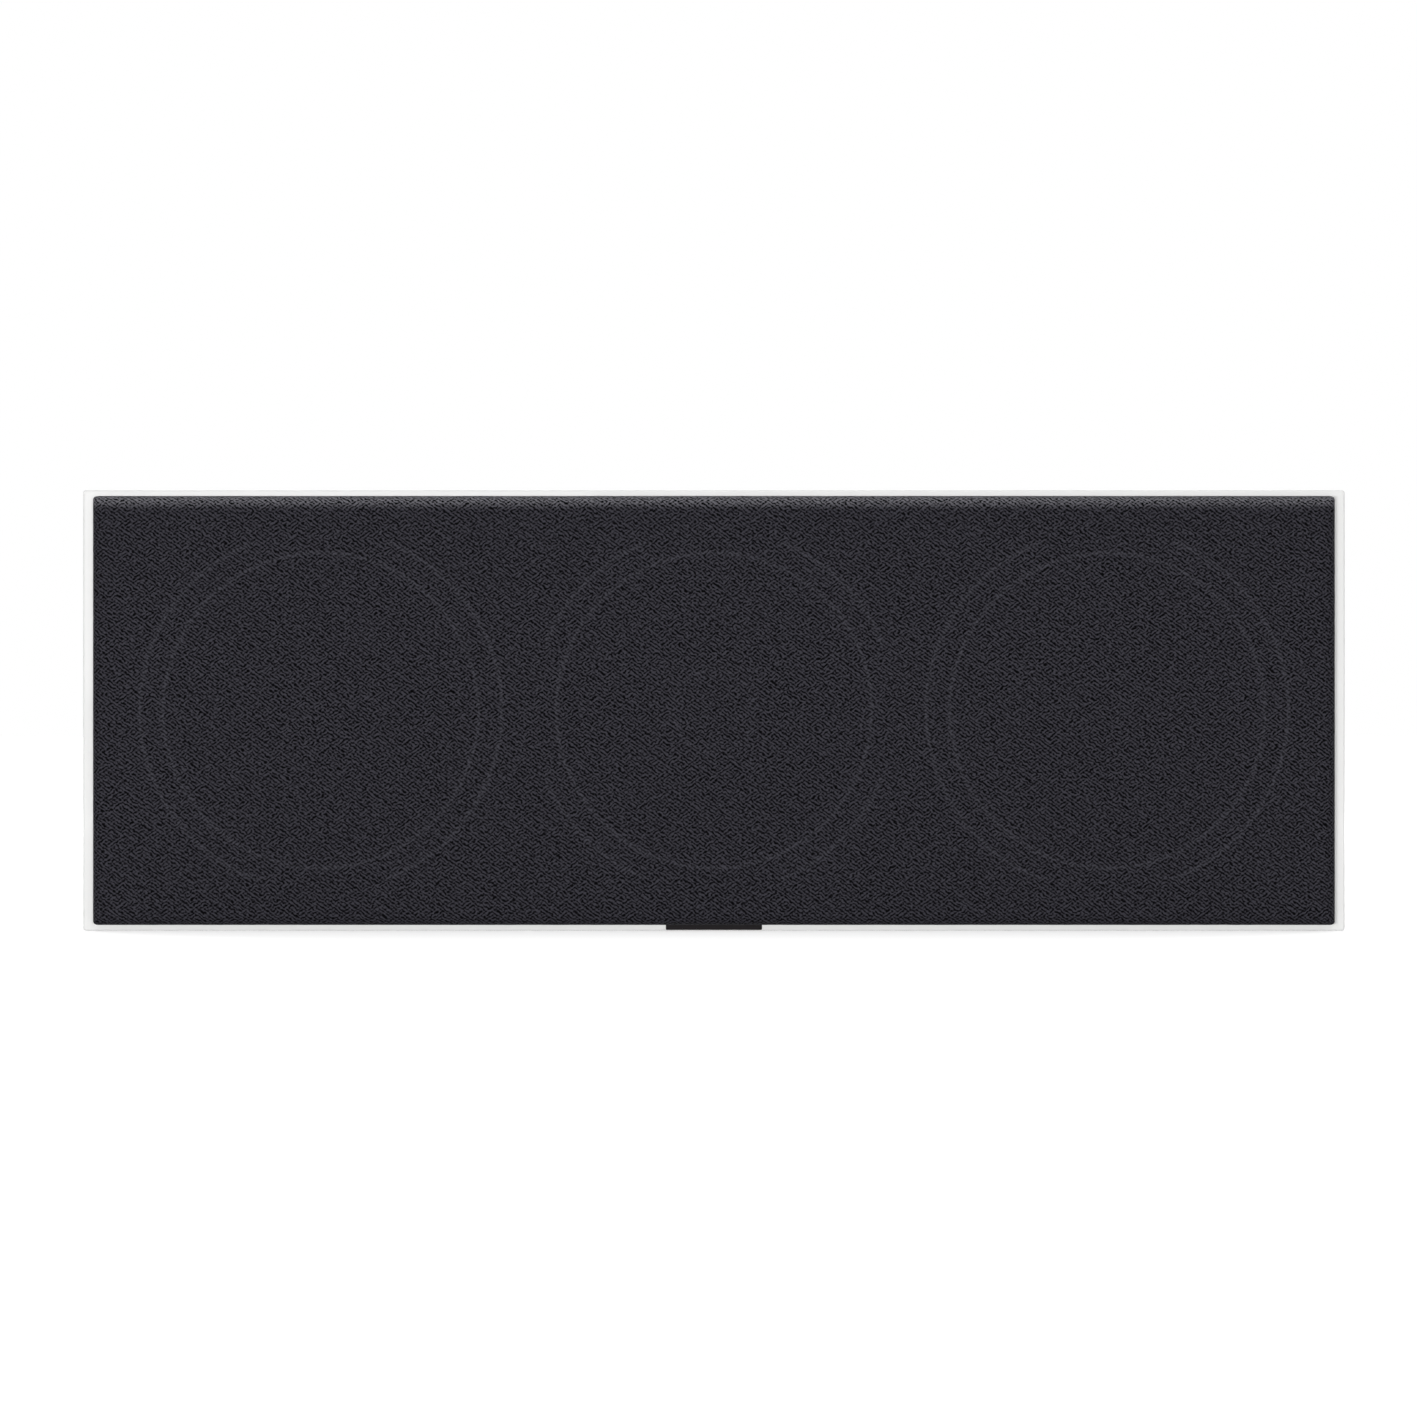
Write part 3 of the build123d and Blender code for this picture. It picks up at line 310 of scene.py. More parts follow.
def lacquered_board(colour):
    """Fibreboard under polished polyurethane lacquer.

    Outside, a deep even white whose reflections ripple faintly; inside, the bare board's felted brown.
    """
    material, tree, shader, place = finish("white_lacquer_on_fibreboard", {"IOR": 1.5})
    ripple = add(tree, "ShaderNodeTexNoise", {"Vector": place, "Scale": per_metre(4.0), "Detail": 1.0})["Fac"]
    fibres = add(tree, "ShaderNodeTexNoise", {
        "Vector": place, "Scale": per_metre(FIBRE_SPACING), "Detail": 6.0,
    })["Fac"]
    low, high = (Vector(corner) for corner in CAD_BOX)
    low.y, high.y = BAFFLE_FACE, CABINET_BACK
    away = add(tree, "ShaderNodeVectorMath", {0: place, 1: (low + high) / 2}, operation="SUBTRACT")["Vector"]
    away = add(tree, "ShaderNodeVectorMath", {0: away}, operation="ABSOLUTE")["Vector"]
    depth = add(tree, "ShaderNodeVectorMath", {0: (high - low) / 2, 1: away}, operation="SUBTRACT")["Vector"]
    depths = add(tree, "ShaderNodeSeparateXYZ", {"Vector": depth})
    nearest = depths["X"]
    for other in (depths["Y"], depths["Z"]):
        nearest = add(tree, "ShaderNodeMath", {0: nearest, 1: other}, operation="MINIMUM")["Value"]
    bare = add(tree, "ShaderNodeMath", {0: nearest, 1: LACQUER_DEPTH}, operation="GREATER_THAN")["Value"]
    white = add(tree, "ShaderNodeMix", {0: ripple, 6: shade(colour, 0.985), 7: colour}, data_type="RGBA")[2]
    dark, light = (linear(tone) for tone in FIBRE_TONES)
    brown = add(tree, "ShaderNodeMix", {0: fibres, 6: dark, 7: light}, data_type="RGBA")[2]
    surface(tree, shader, (bare, white, brown), (bare, 0.04, 0.85), (ripple, 0.003))
    return material


def from_unit_axis(tree, place):
    """Distance from the nearest drive unit's axis, and the offsets across and up that it comes from."""
    sides = add(tree, "ShaderNodeSeparateXYZ", {"Vector": place})
    across = add(tree, "ShaderNodeMath", {
        0: sides["X"], 1: UNIT_PITCH / 2, 2: -UNIT_PITCH / 2,
    }, operation="WRAP")["Value"]
    rise = add(tree, "ShaderNodeMath", {0: sides["Z"], 1: CENTRE_HEIGHT}, operation="SUBTRACT")["Value"]
    offset = add(tree, "ShaderNodeCombineXYZ", {"X": across, "Y": rise})["Vector"]
    radius = add(tree, "ShaderNodeVectorMath", {0: offset}, operation="LENGTH")["Value"]
    return radius, across, rise


def ring_line(tree, radius, line):
    """1 on a circle, falling softly to 0 at half its line's width."""
    middle, half_width = line
    away = add(tree, "ShaderNodeMath", {0: radius, 1: middle}, operation="SUBTRACT")["Value"]
    away = add(tree, "ShaderNodeMath", {0: away}, operation="ABSOLUTE")["Value"]
    return add(tree, "ShaderNodeMapRange", {
        "Value": away, "From Min": 0.0, "From Max": half_width, "To Min": 1.0, "To Max": 0.0,
    }, interpolation_type="SMOOTHSTEP")["Result"]


def painted_see_through_light(tree, place):
    """Painted light: how strongly bright lines are painted on the cloth where the units' rims, the windows'
    edges and the tweeter's rim would show through.
    """
    radius, across, rise = from_unit_axis(tree, place)
    x = add(tree, "ShaderNodeSeparateXYZ", {"Vector": place})["X"]
    middle_unit, on_front, within_rise, within_width = (
        add(tree, "ShaderNodeMath", {0: offset, 1: 0.0, 2: reach}, operation="COMPARE")["Value"]
        for offset, reach in (
            (x, UNIT_PITCH / 2), (x, LINES_REACH), (rise, WINDOW_HALF_HEIGHT), (across, WINDOW_HALF_HEIGHT)
        )
    )
    side_unit = add(tree, "ShaderNodeMath", {0: 1.0, 1: middle_unit}, operation="SUBTRACT")["Value"]
    within_width = add(tree, "ShaderNodeMath", {0: within_width, 1: side_unit}, operation="MAXIMUM")["Value"]
    window = ring_line(tree, radius, WINDOW_LINE)
    for share in (within_rise, within_width):
        window = add(tree, "ShaderNodeMath", {0: window, 1: share}, operation="MULTIPLY")["Value"]
    tweeter = ring_line(tree, radius, TWEETER_LINE)
    for share in (middle_unit, TWEETER_LINE_SHARE):
        tweeter = add(tree, "ShaderNodeMath", {0: tweeter, 1: share}, operation="MULTIPLY")["Value"]
    rings = ring_line(tree, radius, RIM_LINE)
    for other in (window, tweeter):
        rings = add(tree, "ShaderNodeMath", {0: rings, 1: other}, operation="MAXIMUM")["Value"]
    for share in (on_front, PAINTED_LINE_STRENGTH):
        rings = add(tree, "ShaderNodeMath", {0: rings, 1: share}, operation="MULTIPLY")["Value"]
    return rings


def crepe_cloth(thread, hollow):
    """Black polyester crepe: crinkled strands that lie slantwise, now one way and now the other.

    The eye sees short slanted strokes, and a painted highlight towards the top edge stands in for light on its
    rounded top. The strokes are drawn nearly a millimetre wide, as coarse as they need to be to show. Faint
    rings painted into the colour stand in for light from what is bright behind the cloth showing through.
    """
    material, tree, shader, place = finish("black_polyester_crepe", {
        "Roughness": 0.85, "IOR": 1.45, "Specular IOR Level": 0.04, "Sheen Weight": 0.05,
        "Sheen Roughness": 0.35,
    })
    flat = add(tree, "ShaderNodeUVMap", uv_map="flat_cloth")["UV"]
    strands = []
    for slant in (-STRAND_SLANT, STRAND_SLANT):
        turned = add(tree, "ShaderNodeMapping", {"Vector": flat, "Rotation": (0.0, 0.0, slant)})["Vector"]
        strands.append(add(tree, "ShaderNodeTexWave", {
            "Vector": turned, "Scale": per_metre(STRAND_SPACING) * WAVE_LENGTH, "Distortion": 4.0,
            "Detail": 1.0, "Detail Scale": 2.3,
        }, bands_direction="Y")["Fac"])
    patches, knots = (
        add(tree, "ShaderNodeTexNoise", {"Vector": flat, "Scale": per_metre(size), "Detail": detail})["Fac"]
        for size, detail in ((PATCH_SPACING, 1.0), (KNOT_SPACING, 0.0))
    )
    patches = add(tree, "ShaderNodeMapRange", {
        "Value": patches, "From Min": 0.36, "From Max": 0.56, "To Min": 0.25, "To Max": 0.8,
    })["Result"]
    crossing = add(tree, "ShaderNodeMix", {0: patches, 2: strands[0], 3: strands[1]})[0]
    crinkle = add(tree, "ShaderNodeMix", {0: KNOT_SHARE, 2: crossing, 3: knots})[0]
    relief = add(tree, "ShaderNodeMapRange", {"Value": crinkle, "From Min": 0.32, "From Max": 0.68})["Result"]
    # Painted shade: the hollows between the strands take the near-black cloth shadow colour
    weave = add(tree, "ShaderNodeMix", {0: relief, 6: hollow, 7: thread}, data_type="RGBA")[2]
    # Painted light: faint bright rings are added to the cloth's colour where bright edges behind it would show
    # through
    weave = add(tree, "ShaderNodeMix", {
        0: painted_see_through_light(tree, place), 6: weave, 7: linear("#2C2C30"),
    }, data_type="RGBA", blend_type="ADD")[2]
    # Painted highlight: the cloth's colour grows lighter towards its top edge, standing in for light on its
    # rounded top
    height = add(tree, "ShaderNodeSeparateXYZ", {"Vector": place})["Z"]
    top_highlight = add(tree, "ShaderNodeMapRange", {
        "Value": height, "From Min": CLOTH_HIGH.z - TOP_HIGHLIGHT_START, "From Max": CLOTH_HIGH.z - TOP_HIGHLIGHT_FULL,
        "To Max": TOP_HIGHLIGHT_SHARE,
    }, interpolation_type="SMOOTHSTEP")["Result"]
    top_highlight = add(tree, "ShaderNodeMath", {0: top_highlight, 1: relief}, operation="MULTIPLY")["Value"]
    feed(tree, shader, {
        "Base Color": add(tree, "ShaderNodeMix", {
            0: top_highlight, 6: weave, 7: linear("#7E7D83"),
        }, data_type="RGBA")[2],
        "Normal": add(tree, "ShaderNodeBump", {"Height": relief, "Distance": 0.2 * MM})["Normal"],
    })
    return material


def moulded(name, colour, grain_mm=0.8, relief_mm=0.02, roughness=(0.42, 0.56)):
    """Moulded or pressed: even colour with a fine grain that breaks up its shine."""
    return grained(name, shade(colour, 0.86), colour, grain_mm, roughness, relief_mm, {"IOR": 1.53})


def polished_plastic(name, colour):
    """Polished moulding: clear, even and slightly wavy in its reflections."""
    return grained(
        name, shade(colour, 0.92), colour, grain_mm=9.0, roughness=(0.12, 0.2), relief_mm=0.01, detail=1.0,
        constants={"IOR": 1.5, "Specular IOR Level": 0.28},
    )


def worked_metal(name, dark, light, grain_mm, roughness):
    """Plated or cast metal whose tone and gloss wander a little."""
    return grained(
        name, linear(dark), linear(light), grain_mm, roughness, relief_mm=0.01, detail=5.0,
        constants={"Metallic": 1.0},
    )


def spun_aluminium(name, colour, groove_mm, roughness):
    """Spun and anodised aluminium: fine rings left by the tool, which draw highlights out round the axis.

    The grooves are drawn wider than the real ones, so that they show.
    """
    material, tree, shader, place = finish(name, {"Metallic": 1.0})
    radius = from_unit_axis(tree, place)[0]
    turns = add(tree, "ShaderNodeMath", {
        0: radius, 1: 2 * math.pi * per_metre(groove_mm),
    }, operation="MULTIPLY")["Value"]
    grooves = add(tree, "ShaderNodeMath", {0: turns}, operation="SINE")["Value"]
    clouds = add(tree, "ShaderNodeTexNoise", {"Vector": place, "Scale": per_metre(7.0), "Detail": 4.0})["Fac"]
    streaks = add(tree, "ShaderNodeMath", {
        0: grooves, 1: 0.35, 2: clouds,
    }, operation="MULTIPLY_ADD")["Value"]
    surface(tree, shader, (clouds, shade(colour, 0.82), colour), (streaks, *roughness), (grooves, 0.012))
    return material


def trim_ring_finish(colour):
    """Moulded ABS ring with a diamond-cut edge: satin black, and one bright line where its bevel begins."""
    material, tree, shader, place = finish("black_abs_with_cut_edge", {"IOR": 1.53})
    radius = from_unit_axis(tree, place)[0]
    cut = add(tree, "ShaderNodeMath", {
        0: radius, 1: RIM_RADIUS, 2: RIM_HALF_WIDTH,
    }, operation="COMPARE")["Value"]
    grain = add(tree, "ShaderNodeTexNoise", {"Vector": place, "Scale": per_metre(0.8), "Detail": 4.0})["Fac"]
    surface(tree, shader, (cut, colour, linear("#D8D9DA")), (grain, 0.3, 0.46), (grain, 0.015))
    feed(tree, shader, {"Metallic": cut})
    return material


def banded(name, axes, band_mm, low, high, roughness, relief_mm, constants):
    """Threads or windings: even ribs of a real width across each of the axes, in a light and a dark tone."""
    material, tree, shader, place = finish(name, constants)
    ribs = 1.0
    for axis in axes:
        band = add(tree, "ShaderNodeTexWave", {
            "Vector": place, "Scale": per_metre(band_mm) * WAVE_LENGTH, "Distortion": 0.3,
        }, bands_direction=axis)["Fac"]
        ribs = add(tree, "ShaderNodeMath", {0: ribs, 1: band}, operation="MULTIPLY")["Value"]
    surface(tree, shader, (ribs, linear(low), linear(high)), (ribs, *roughness), (ribs, relief_mm))
    return material


def circuit_board():
    """Glass-epoxy board under solder mask: green, with paler copper tracks showing beneath."""
    material, tree, shader, place = finish("glass_epoxy_board", {"IOR": 1.55, "Roughness": 0.35})
    tracks = add(tree, "ShaderNodeTexBrick", {
        "Vector": place, "Scale": per_metre(40.0), "Color1": linear("#0C3A22"), "Color2": linear("#0F4428"),
        "Mortar": linear("#2C7A4B"), "Mortar Size": 0.035, "Brick Width": 0.6, "Row Height": 0.3,
    }, offset=0.37)
    feed(tree, shader, {
        "Base Color": tracks["Color"],
        "Normal": add(tree, "ShaderNodeBump", {"Height": tracks["Fac"], "Distance": 0.03 * MM})["Normal"],
    })
    return material


def dress(material, *names):
    """Gives CAD nodes their finish."""
    for name in names:
        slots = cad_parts[name].data.materials
        slots.clear()
        slots.append(material)


def of_each_unit(*parts):
    """Node names of parts that all three drive units have."""
    return [f"{unit}_{part}" for part in parts for unit in CONE_BODIES]


# Meshes


def piece_from(name, builder, material):
    """A finished object at the origin, from a bmesh whose faces already point outwards."""
    mesh = bpy.data.meshes.new(name)
    builder.to_mesh(mesh)
    builder.free()
    mesh.materials.append(material)
    piece = bpy.data.objects.new(name, mesh)
    bpy.context.scene.collection.objects.link(piece)
    return piece


def plain_mesh(piece):
    """Turns a piece with modifiers into a plain mesh."""
    bpy.context.view_layer.update()
    evaluated = piece.evaluated_get(bpy.context.evaluated_depsgraph_get())
    mesh = bpy.data.meshes.new_from_object(evaluated)
    mesh.name = piece.name
    piece.modifiers.clear()
    piece.data = mesh
    return piece


def thickened(piece, thickness, outwards):
    """Gives a sheet its thickness on one side."""
    wall = piece.modifiers.new("wall", "SOLIDIFY")
    wall.thickness = thickness
    wall.offset = 1.0 if outwards else -1.0
    return plain_mesh(piece)


def smooth(piece, sharp_from):
    """Smooth shading, kept sharp from an angle in degrees."""
    piece.data.shade_smooth()
    piece.data.set_sharp_from_angle(angle=math.radians(sharp_from))
    return piece


def solid_boxes(node):
    """Lowest and highest corners of each separate solid of a CAD node."""
    copy = bmesh.new()
    copy.from_mesh(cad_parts[node].data)
    bmesh.ops.remove_doubles(copy, verts=copy.verts, dist=0.001 * MM)
    boxes, left = [], set(copy.verts)
    while left:
        solid, found = [], [left.pop()]
        while found:
            vert = found.pop()
            solid.append(vert.co.copy())
            near = {edge.other_vert(vert) for edge in vert.link_edges} & left
            found += near
            left -= near
        boxes.append(tuple(Vector([pick(co[k] for co in solid) for k in range(3)]) for pick in (min, max)))
    copy.free()
    return sorted(boxes, key=lambda box: tuple(box[0]))


def node_tree(name, inputs, output):
    """A Geometry Nodes tree with named inputs and one output; gives it and its inputs' identifiers."""
    tree = bpy.data.node_groups.new(name, "GeometryNodeTree")
    identifiers = {
        label: tree.interface.new_socket(label, in_out="INPUT", socket_type=f"NodeSocket{kind}").identifier
        for label, kind in inputs.items()
    }
    tree.interface.new_socket(output, in_out="OUTPUT", socket_type="NodeSocketGeometry")
    return tree, identifiers


def end_tree(tree, geometry, material):
    """Makes a tree's instances real, paints them and gives them out."""
    real = add(tree, "GeometryNodeRealizeInstances", {"Geometry": geometry})["Geometry"]
    painted = add(tree, "GeometryNodeSetMaterial", {"Geometry": real, "Material": material})["Geometry"]
    add(tree, "NodeGroupOutput", {0: painted})


def run_tree(piece, tree, identifiers, values):
    """Runs a tree on a piece with these values for its inputs, and keeps what comes out as a plain mesh."""
    modifier = piece.modifiers.new(tree.name, "NODES")
    modifier.node_group = tree
    for label, value in values.items():
        modifier[identifiers[label]] = value
    return plain_mesh(piece)


# Pieces


class LOUDSPEAKER_OT_cabinet(bpy.types.Operator):
    """Finishes of the cabinet's boards, braces and plain plate"""

    bl_idname = "loudspeaker.cabinet"
    bl_label = "Cabinet"

    def execute(self, context):
        colours = context.scene.loudspeaker_colours
        dress(lacquered_board(colours.lacquer), "cabinet_shell", "front_baffle", "rear_panel")
        # Raw medium-density fibreboard: dull brown, felted from short fibres
        fibreboard = grained(
            "raw_fibreboard", *(linear(tone) for tone in FIBRE_TONES), grain_mm=FIBRE_SPACING,
            roughness=(0.75, 0.95), relief_mm=0.05, constants={"IOR": 1.45}, detail=6.0,
        )
        dress(fibreboard, "left_brace", "right_brace")
        # Satin acrylic sheet: near black, with only a soft reflection
        plate = grained(
            "black_satin_acrylic", shade(colours.plate, 0.8), colours.plate, grain_mm=6.0,
            roughness=(0.04, 0.07), relief_mm=0.002, constants={"IOR": 1.49, "Specular IOR Level": 0.12},
        )
        dress(plate, "badge_plate")
        return {"FINISHED"}


class LOUDSPEAKER_OT_wadding(bpy.types.Operator):
    """Lumpy polyester pads in the three chambers"""

    bl_idname = "loudspeaker.wadding"
    bl_label = "Wadding"

    def execute(self, context):
        sizes = context.scene.loudspeaker_sizes
        pads = bmesh.new()
        for low, high in solid_boxes("wadding_pads"):
            middle, half = (low + high) / 2, (high - low) / 2
            rests = Vector((0.0, 0.0, 1.0)) if half.z < half.y else Vector((0.0, 1.0, 0.0))
            first = len(pads.verts)
            made = bmesh.ops.create_cube(pads, size=2.0, matrix=Matrix.Diagonal((*half, 1.0)))
            edges = {edge for vert in made["verts"] for edge in vert.link_edges}
            bmesh.ops.subdivide_edges(pads, edges=list(edges), cuts=PAD_CUTS, use_grid_fill=True)
            pads.verts.ensure_lookup_table()
            for vert in pads.verts[first:]:
                vert.co = middle + pad_place(vert.co, half, rests, sizes)
        # Needled polyester fleece: off-white and matt, with a soft halo of loose fibres
        fleece = grained(
            "polyester_wadding", linear("#CFCDC6"), linear("#F2F1EC"), grain_mm=5.0, roughness=(0.9, 1.0),
            relief_mm=0.8, constants={"Sheen Weight": 0.4, "Sheen Roughness": 0.6}, detail=8.0,
        )
        piece = smooth(piece_from("wadding", pads, fleece), sharp_from=180.0)
        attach(piece, "cabinet")
        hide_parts("wadding_pads")
        return {"FINISHED"}


def pad_place(place, half, rests, sizes):
    """Moves a point of a box onto a soft pad, with hollows on every side but the one that it rests on."""
    soft = sizes.wadding_round
    core = Vector([max(soft - h, min(h - soft, p)) for h, p in zip(half, place)])
    out = (place - core).normalized()
    shift = Vector((sizes.wadding_seed, *half.xy * PAD_SHIFT))
    hollow = 0.5 + 0.5 * noise.noise(place * PAD_LUMPS + shift)
    free = 1.0 - max(0.0, out.dot(rests))
    return core + out * (soft - sizes.wadding_loft * hollow * free)


class LOUDSPEAKER_OT_grille(bpy.types.Operator):
    """Finishes of the grille's frame and its magnets"""

    bl_idname = "loudspeaker.grille"
    bl_label = "Grille frame"

    def execute(self, context):
        # Injection-moulded ABS: black, with the fine grain of a spark-eroded mould
        dress(moulded("black_abs_frame", context.scene.loudspeaker_colours.black_plastic), "grille_frame")
        # Nickel plate: warm and mirror-like, a little clouded
        nickel = worked_metal("nickel_plate", "#A9A79F", "#D9D7CF", grain_mm=2.0, roughness=(0.12, 0.25))
        dress(nickel, "grille_magnets", "tweeter_magnet")
        return {"FINISHED"}


class LOUDSPEAKER_OT_cloth(bpy.types.Operator):
    """Cloth stretched over the grille's frame and turned in behind it"""

    bl_idname = "loudspeaker.cloth"
    bl_label = "Grille cloth"

    def execute(self, context):
        sizes = context.scene.loudspeaker_sizes
        colours = context.scene.loudspeaker_colours
        half_width = (CLOTH_HIGH.x - CLOTH_LOW.x) / 2
        half_height = (CLOTH_HIGH.z - CLOTH_LOW.z) / 2
        notch_columns = [side * (PLATE_HIGH.x + step) for side in (-1, 1) for step in NOTCH_STEPS]
        columns = wrap_lines(half_width, sizes, notch_columns)
        rows = wrap_lines(half_height, sizes, [])
        sheet = bmesh.new()
        grid = [
            [sheet.verts.new(cloth_place(column, row, half_width, half_height, sizes)) for column in columns]
            for row in rows
        ]
        flat_cloth = sheet.loops.layers.uv.new("flat_cloth")
        for j in range(len(rows) - 1):
            for k in range(len(columns) - 1):
                corners = ((j, k), (j, k + 1), (j + 1, k + 1), (j + 1, k))
                face = sheet.faces.new([grid[row][column] for row, column in corners])
                for loop, (row, column) in zip(face.loops, corners):
                    loop[flat_cloth].uv = (columns[column][0], rows[row][0])
        bmesh.ops.remove_doubles(sheet, verts=sheet.verts, dist=WELD_DISTANCE)
        bmesh.ops.dissolve_degenerate(sheet, edges=sheet.edges, dist=WELD_DISTANCE)
        piece = piece_from("grille_cloth_sheet", sheet, crepe_cloth(colours.cloth, colours.cloth_shadow))
        smooth(thickened(piece, sizes.cloth_thickness, outwards=False), sharp_from=50.0)
        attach(piece, "grille")
        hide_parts("grille_cloth")
        return {"FINISHED"}


def wrap_lines(half, sizes, extra):
    """Lines of the cloth one way: place in the flat cloth, place over the frame, and how far back it is."""
    roll, hem = sizes.cloth_edge_roll, sizes.cloth_hem
    flat = half - roll
    back = BAFFLE_FACE - CLOTH_LOW.y - HEM_CLEARANCE
    count = round(2 * flat / sizes.cloth_step)
    front = sorted([-flat + 2 * flat * k / count for k in range(count + 1)] + extra)
    edge = []
    for k in range(1, EDGE_STEPS + 1):
        angle = math.pi / 2 * k / EDGE_STEPS
        edge.append((flat + roll * angle, flat + roll * math.sin(angle), roll * (1 - math.cos(angle))))
    over = flat + roll * math.pi / 2
    for k in range(1, SIDE_STEPS + 1):
        down = (back - roll) * k / SIDE_STEPS
        edge.append((over + down, half, roll + down))
    turned = over + back - roll
    for k in range(1, HEM_STEPS + 1):
        inwards = hem * k / HEM_STEPS
        edge.append((turned + inwards, half - inwards, back))
    return [(-s, -x, d) for s, x, d in reversed(edge)] + [(x, x, 0.0) for x in front] + edge


def cloth_place(column, row, half_width, half_height, sizes):
    """Place of a point of the cloth's outside: rounded at the grille's corners, drawn in over the windows."""
    x, z, corner = column[1], row[1], sizes.cloth_corner
    over_x, over_z = abs(x) - (half_width - corner), abs(z) - (half_height - corner)
    if min(over_x, over_z) > 0 and math.hypot(over_x, over_z) > corner:
        shrink = corner / math.hypot(over_x, over_z)
        x = math.copysign(half_width - corner + over_x * shrink, x)
        z = math.copysign(half_height - corner + over_z * shrink, z)
    y = CLOTH_LOW.y + max(column[2], row[2]) + sizes.cloth_give * window_share(x, z)
    if abs(x) <= NOTCH_EDGE and CENTRE_HEIGHT + z < PLATE_HIGH.z:
        y = min(y, PLATE_LOW.y - PLATE_CLEARANCE)
    return Vector((x, y, CENTRE_HEIGHT + z))


def window_share(x, z):
    """0 over the frame, rising to 1 inside a window's edge."""
    share = 0.0
    for unit_x in (-UNIT_PITCH, 0.0, UNIT_PITCH):
        across = x - unit_x
        inside = min(WINDOW_RADIUS - math.hypot(across, z), WINDOW_HALF_HEIGHT - abs(z))
        if unit_x == 0.0:
            inside = min(inside, WINDOW_HALF_HEIGHT - abs(across))
        t = max(0.0, min(1.0, inside / GIVE_RUN))
        share = max(share, t * t * (3 - 2 * t))
    return share


class LOUDSPEAKER_OT_drive_units(bpy.types.Operator):
    """Finishes of the drive units and of the tweeter"""

    bl_idname = "loudspeaker.drive_units"
    bl_label = "Drive units"

    def execute(self, context):
        colours = context.scene.loudspeaker_colours
        dress(trim_ring_finish(colours.black_plastic), *of_each_unit("trim_ring"), "tweeter_waveguide")
        # Cast aluminium under black powder coat: a fine orange-peel satin
        powder = grained(
            "powder_coated_casting", linear("#1B1B1D"), linear("#262628"), grain_mm=0.9,
            roughness=(0.5, 0.65), relief_mm=0.04, constants={"IOR": 1.5},
        )
        dress(powder, *of_each_unit("basket"))
        cone = spun_aluminium("dark_anodised_aluminium", colours.cone, groove_mm=0.9, roughness=(0.28, 0.42))
        dress(cone, *of_each_unit("cone"), "left_woofer_dust_cap", "right_woofer_dust_cap")
        foil = spun_aluminium("bright_aluminium_foil", linear("#C9CACB"), groove_mm=0.6, roughness=(0.2, 0.3))
        dress(foil, "tweeter_dome")
        # Resin-stiffened cotton: tan threads that cross
        cotton = banded(
            "resined_cotton", "XZ", band_mm=0.8, low="#8A5A22", high="#C99A4E", roughness=(0.8, 0.95),
            relief_mm=0.15, constants={"IOR": 1.45},
        )
        dress(cotton, *of_each_unit("spider"))
        # Enamelled copper wire in close turns: a fine bright rib for each turn
        copper = banded(
            "enamelled_copper", "Y", band_mm=1.0, low="#6E3416", high="#C9773F", roughness=(0.25, 0.4),
            relief_mm=0.1, constants={"Metallic": 1.0},
        )
        dress(copper, *of_each_unit("voice_coil"), "inductors")
        # Zinc-plated steel: cool grey with faint blotches
        steel = worked_metal("zinc_plated_steel", "#9A9C9E", "#C4C6C6", grain_mm=4.0, roughness=(0.22, 0.38))
        dress(steel, *of_each_unit("top_plate", "yoke"), "tweeter_cup", "baffle_keepers")
        # Sintered strontium ferrite: charcoal grey, ground flat, with pits
        ferrite = grained(
            "sintered_ferrite", linear("#1D1C1C"), linear("#3A3836"), grain_mm=1.2, roughness=(0.55, 0.8),
            relief_mm=0.04, constants={"IOR": 2.0}, detail=8.0,
        )
        dress(ferrite, *of_each_unit("ring_magnet"))
        # Pressed phenolic paper: brown and dull
        dress(moulded("phenolic_board", linear("#6A4526"), grain_mm=1.5), "driver_tag_strips")
        return {"FINISHED"}


class LOUDSPEAKER_OT_surrounds(bpy.types.Operator):
    """Rubber half rolls between the baskets and the cones"""

    bl_idname = "loudspeaker.surrounds"
    bl_label = "Surrounds"

    def execute(self, context):
        sizes = context.scene.loudspeaker_sizes
        colour = context.scene.loudspeaker_colours.rubber
        # Pressed butyl rubber: soft dark satin with a dusty bloom
        rubber = grained(
            "butyl_rubber", shade(colour, 0.8), shade(colour, 1.25), grain_mm=6.0, roughness=(0.5, 0.66),
            relief_mm=0.03, constants={"IOR": 1.52, "Sheen Weight": 0.12, "Sheen Roughness": 0.5}, detail=5.0,
        )
        for unit, cone in CONE_BODIES.items():
            low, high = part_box(f"{unit}_surround")
            axis_x, flange = (low.x + high.x) / 2, high.y
            for inner, bodies in ((False, ("cabinet", cone)), (True, (cone, "cabinet"))):
                profile = roll_profile((high.x - low.x) / 2, flange, inner, sizes)
                name = f"{unit}_surround_{'inner' if inner else 'outer'}"
                piece = turned_ring(name, profile, axis_x, rubber)
                smooth(thickened(piece, sizes.surround_thickness, outwards=True), sharp_from=60.0)
                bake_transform(piece)
            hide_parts(f"{unit}_surround")
        return {"FINISHED"}


def roll_profile(outer_radius, flange, inner, sizes):
    """Radius and place along Y of half a roll: from the cone's lip or the basket's land up to the crest."""
    width, height = sizes.surround_roll, sizes.surround_height
    middle = outer_radius - sizes.surround_land - width / 2
    bend = (width ** 2 / 4 + height ** 2) / (2 * height)
    limit = math.asin(width / 2 / bend)
    side = -1 if inner else 1
    land = sizes.cone_lip if inner else sizes.surround_land
    profile = [(middle + side * (width / 2 + land), flange)]
    for k in range(ROLL_STEPS + 1):
        angle = limit * (1 - k / ROLL_STEPS)
        rise = height - bend * (1 - math.cos(angle))
        profile.append((middle + side * bend * math.sin(angle), flange - rise))
    return profile


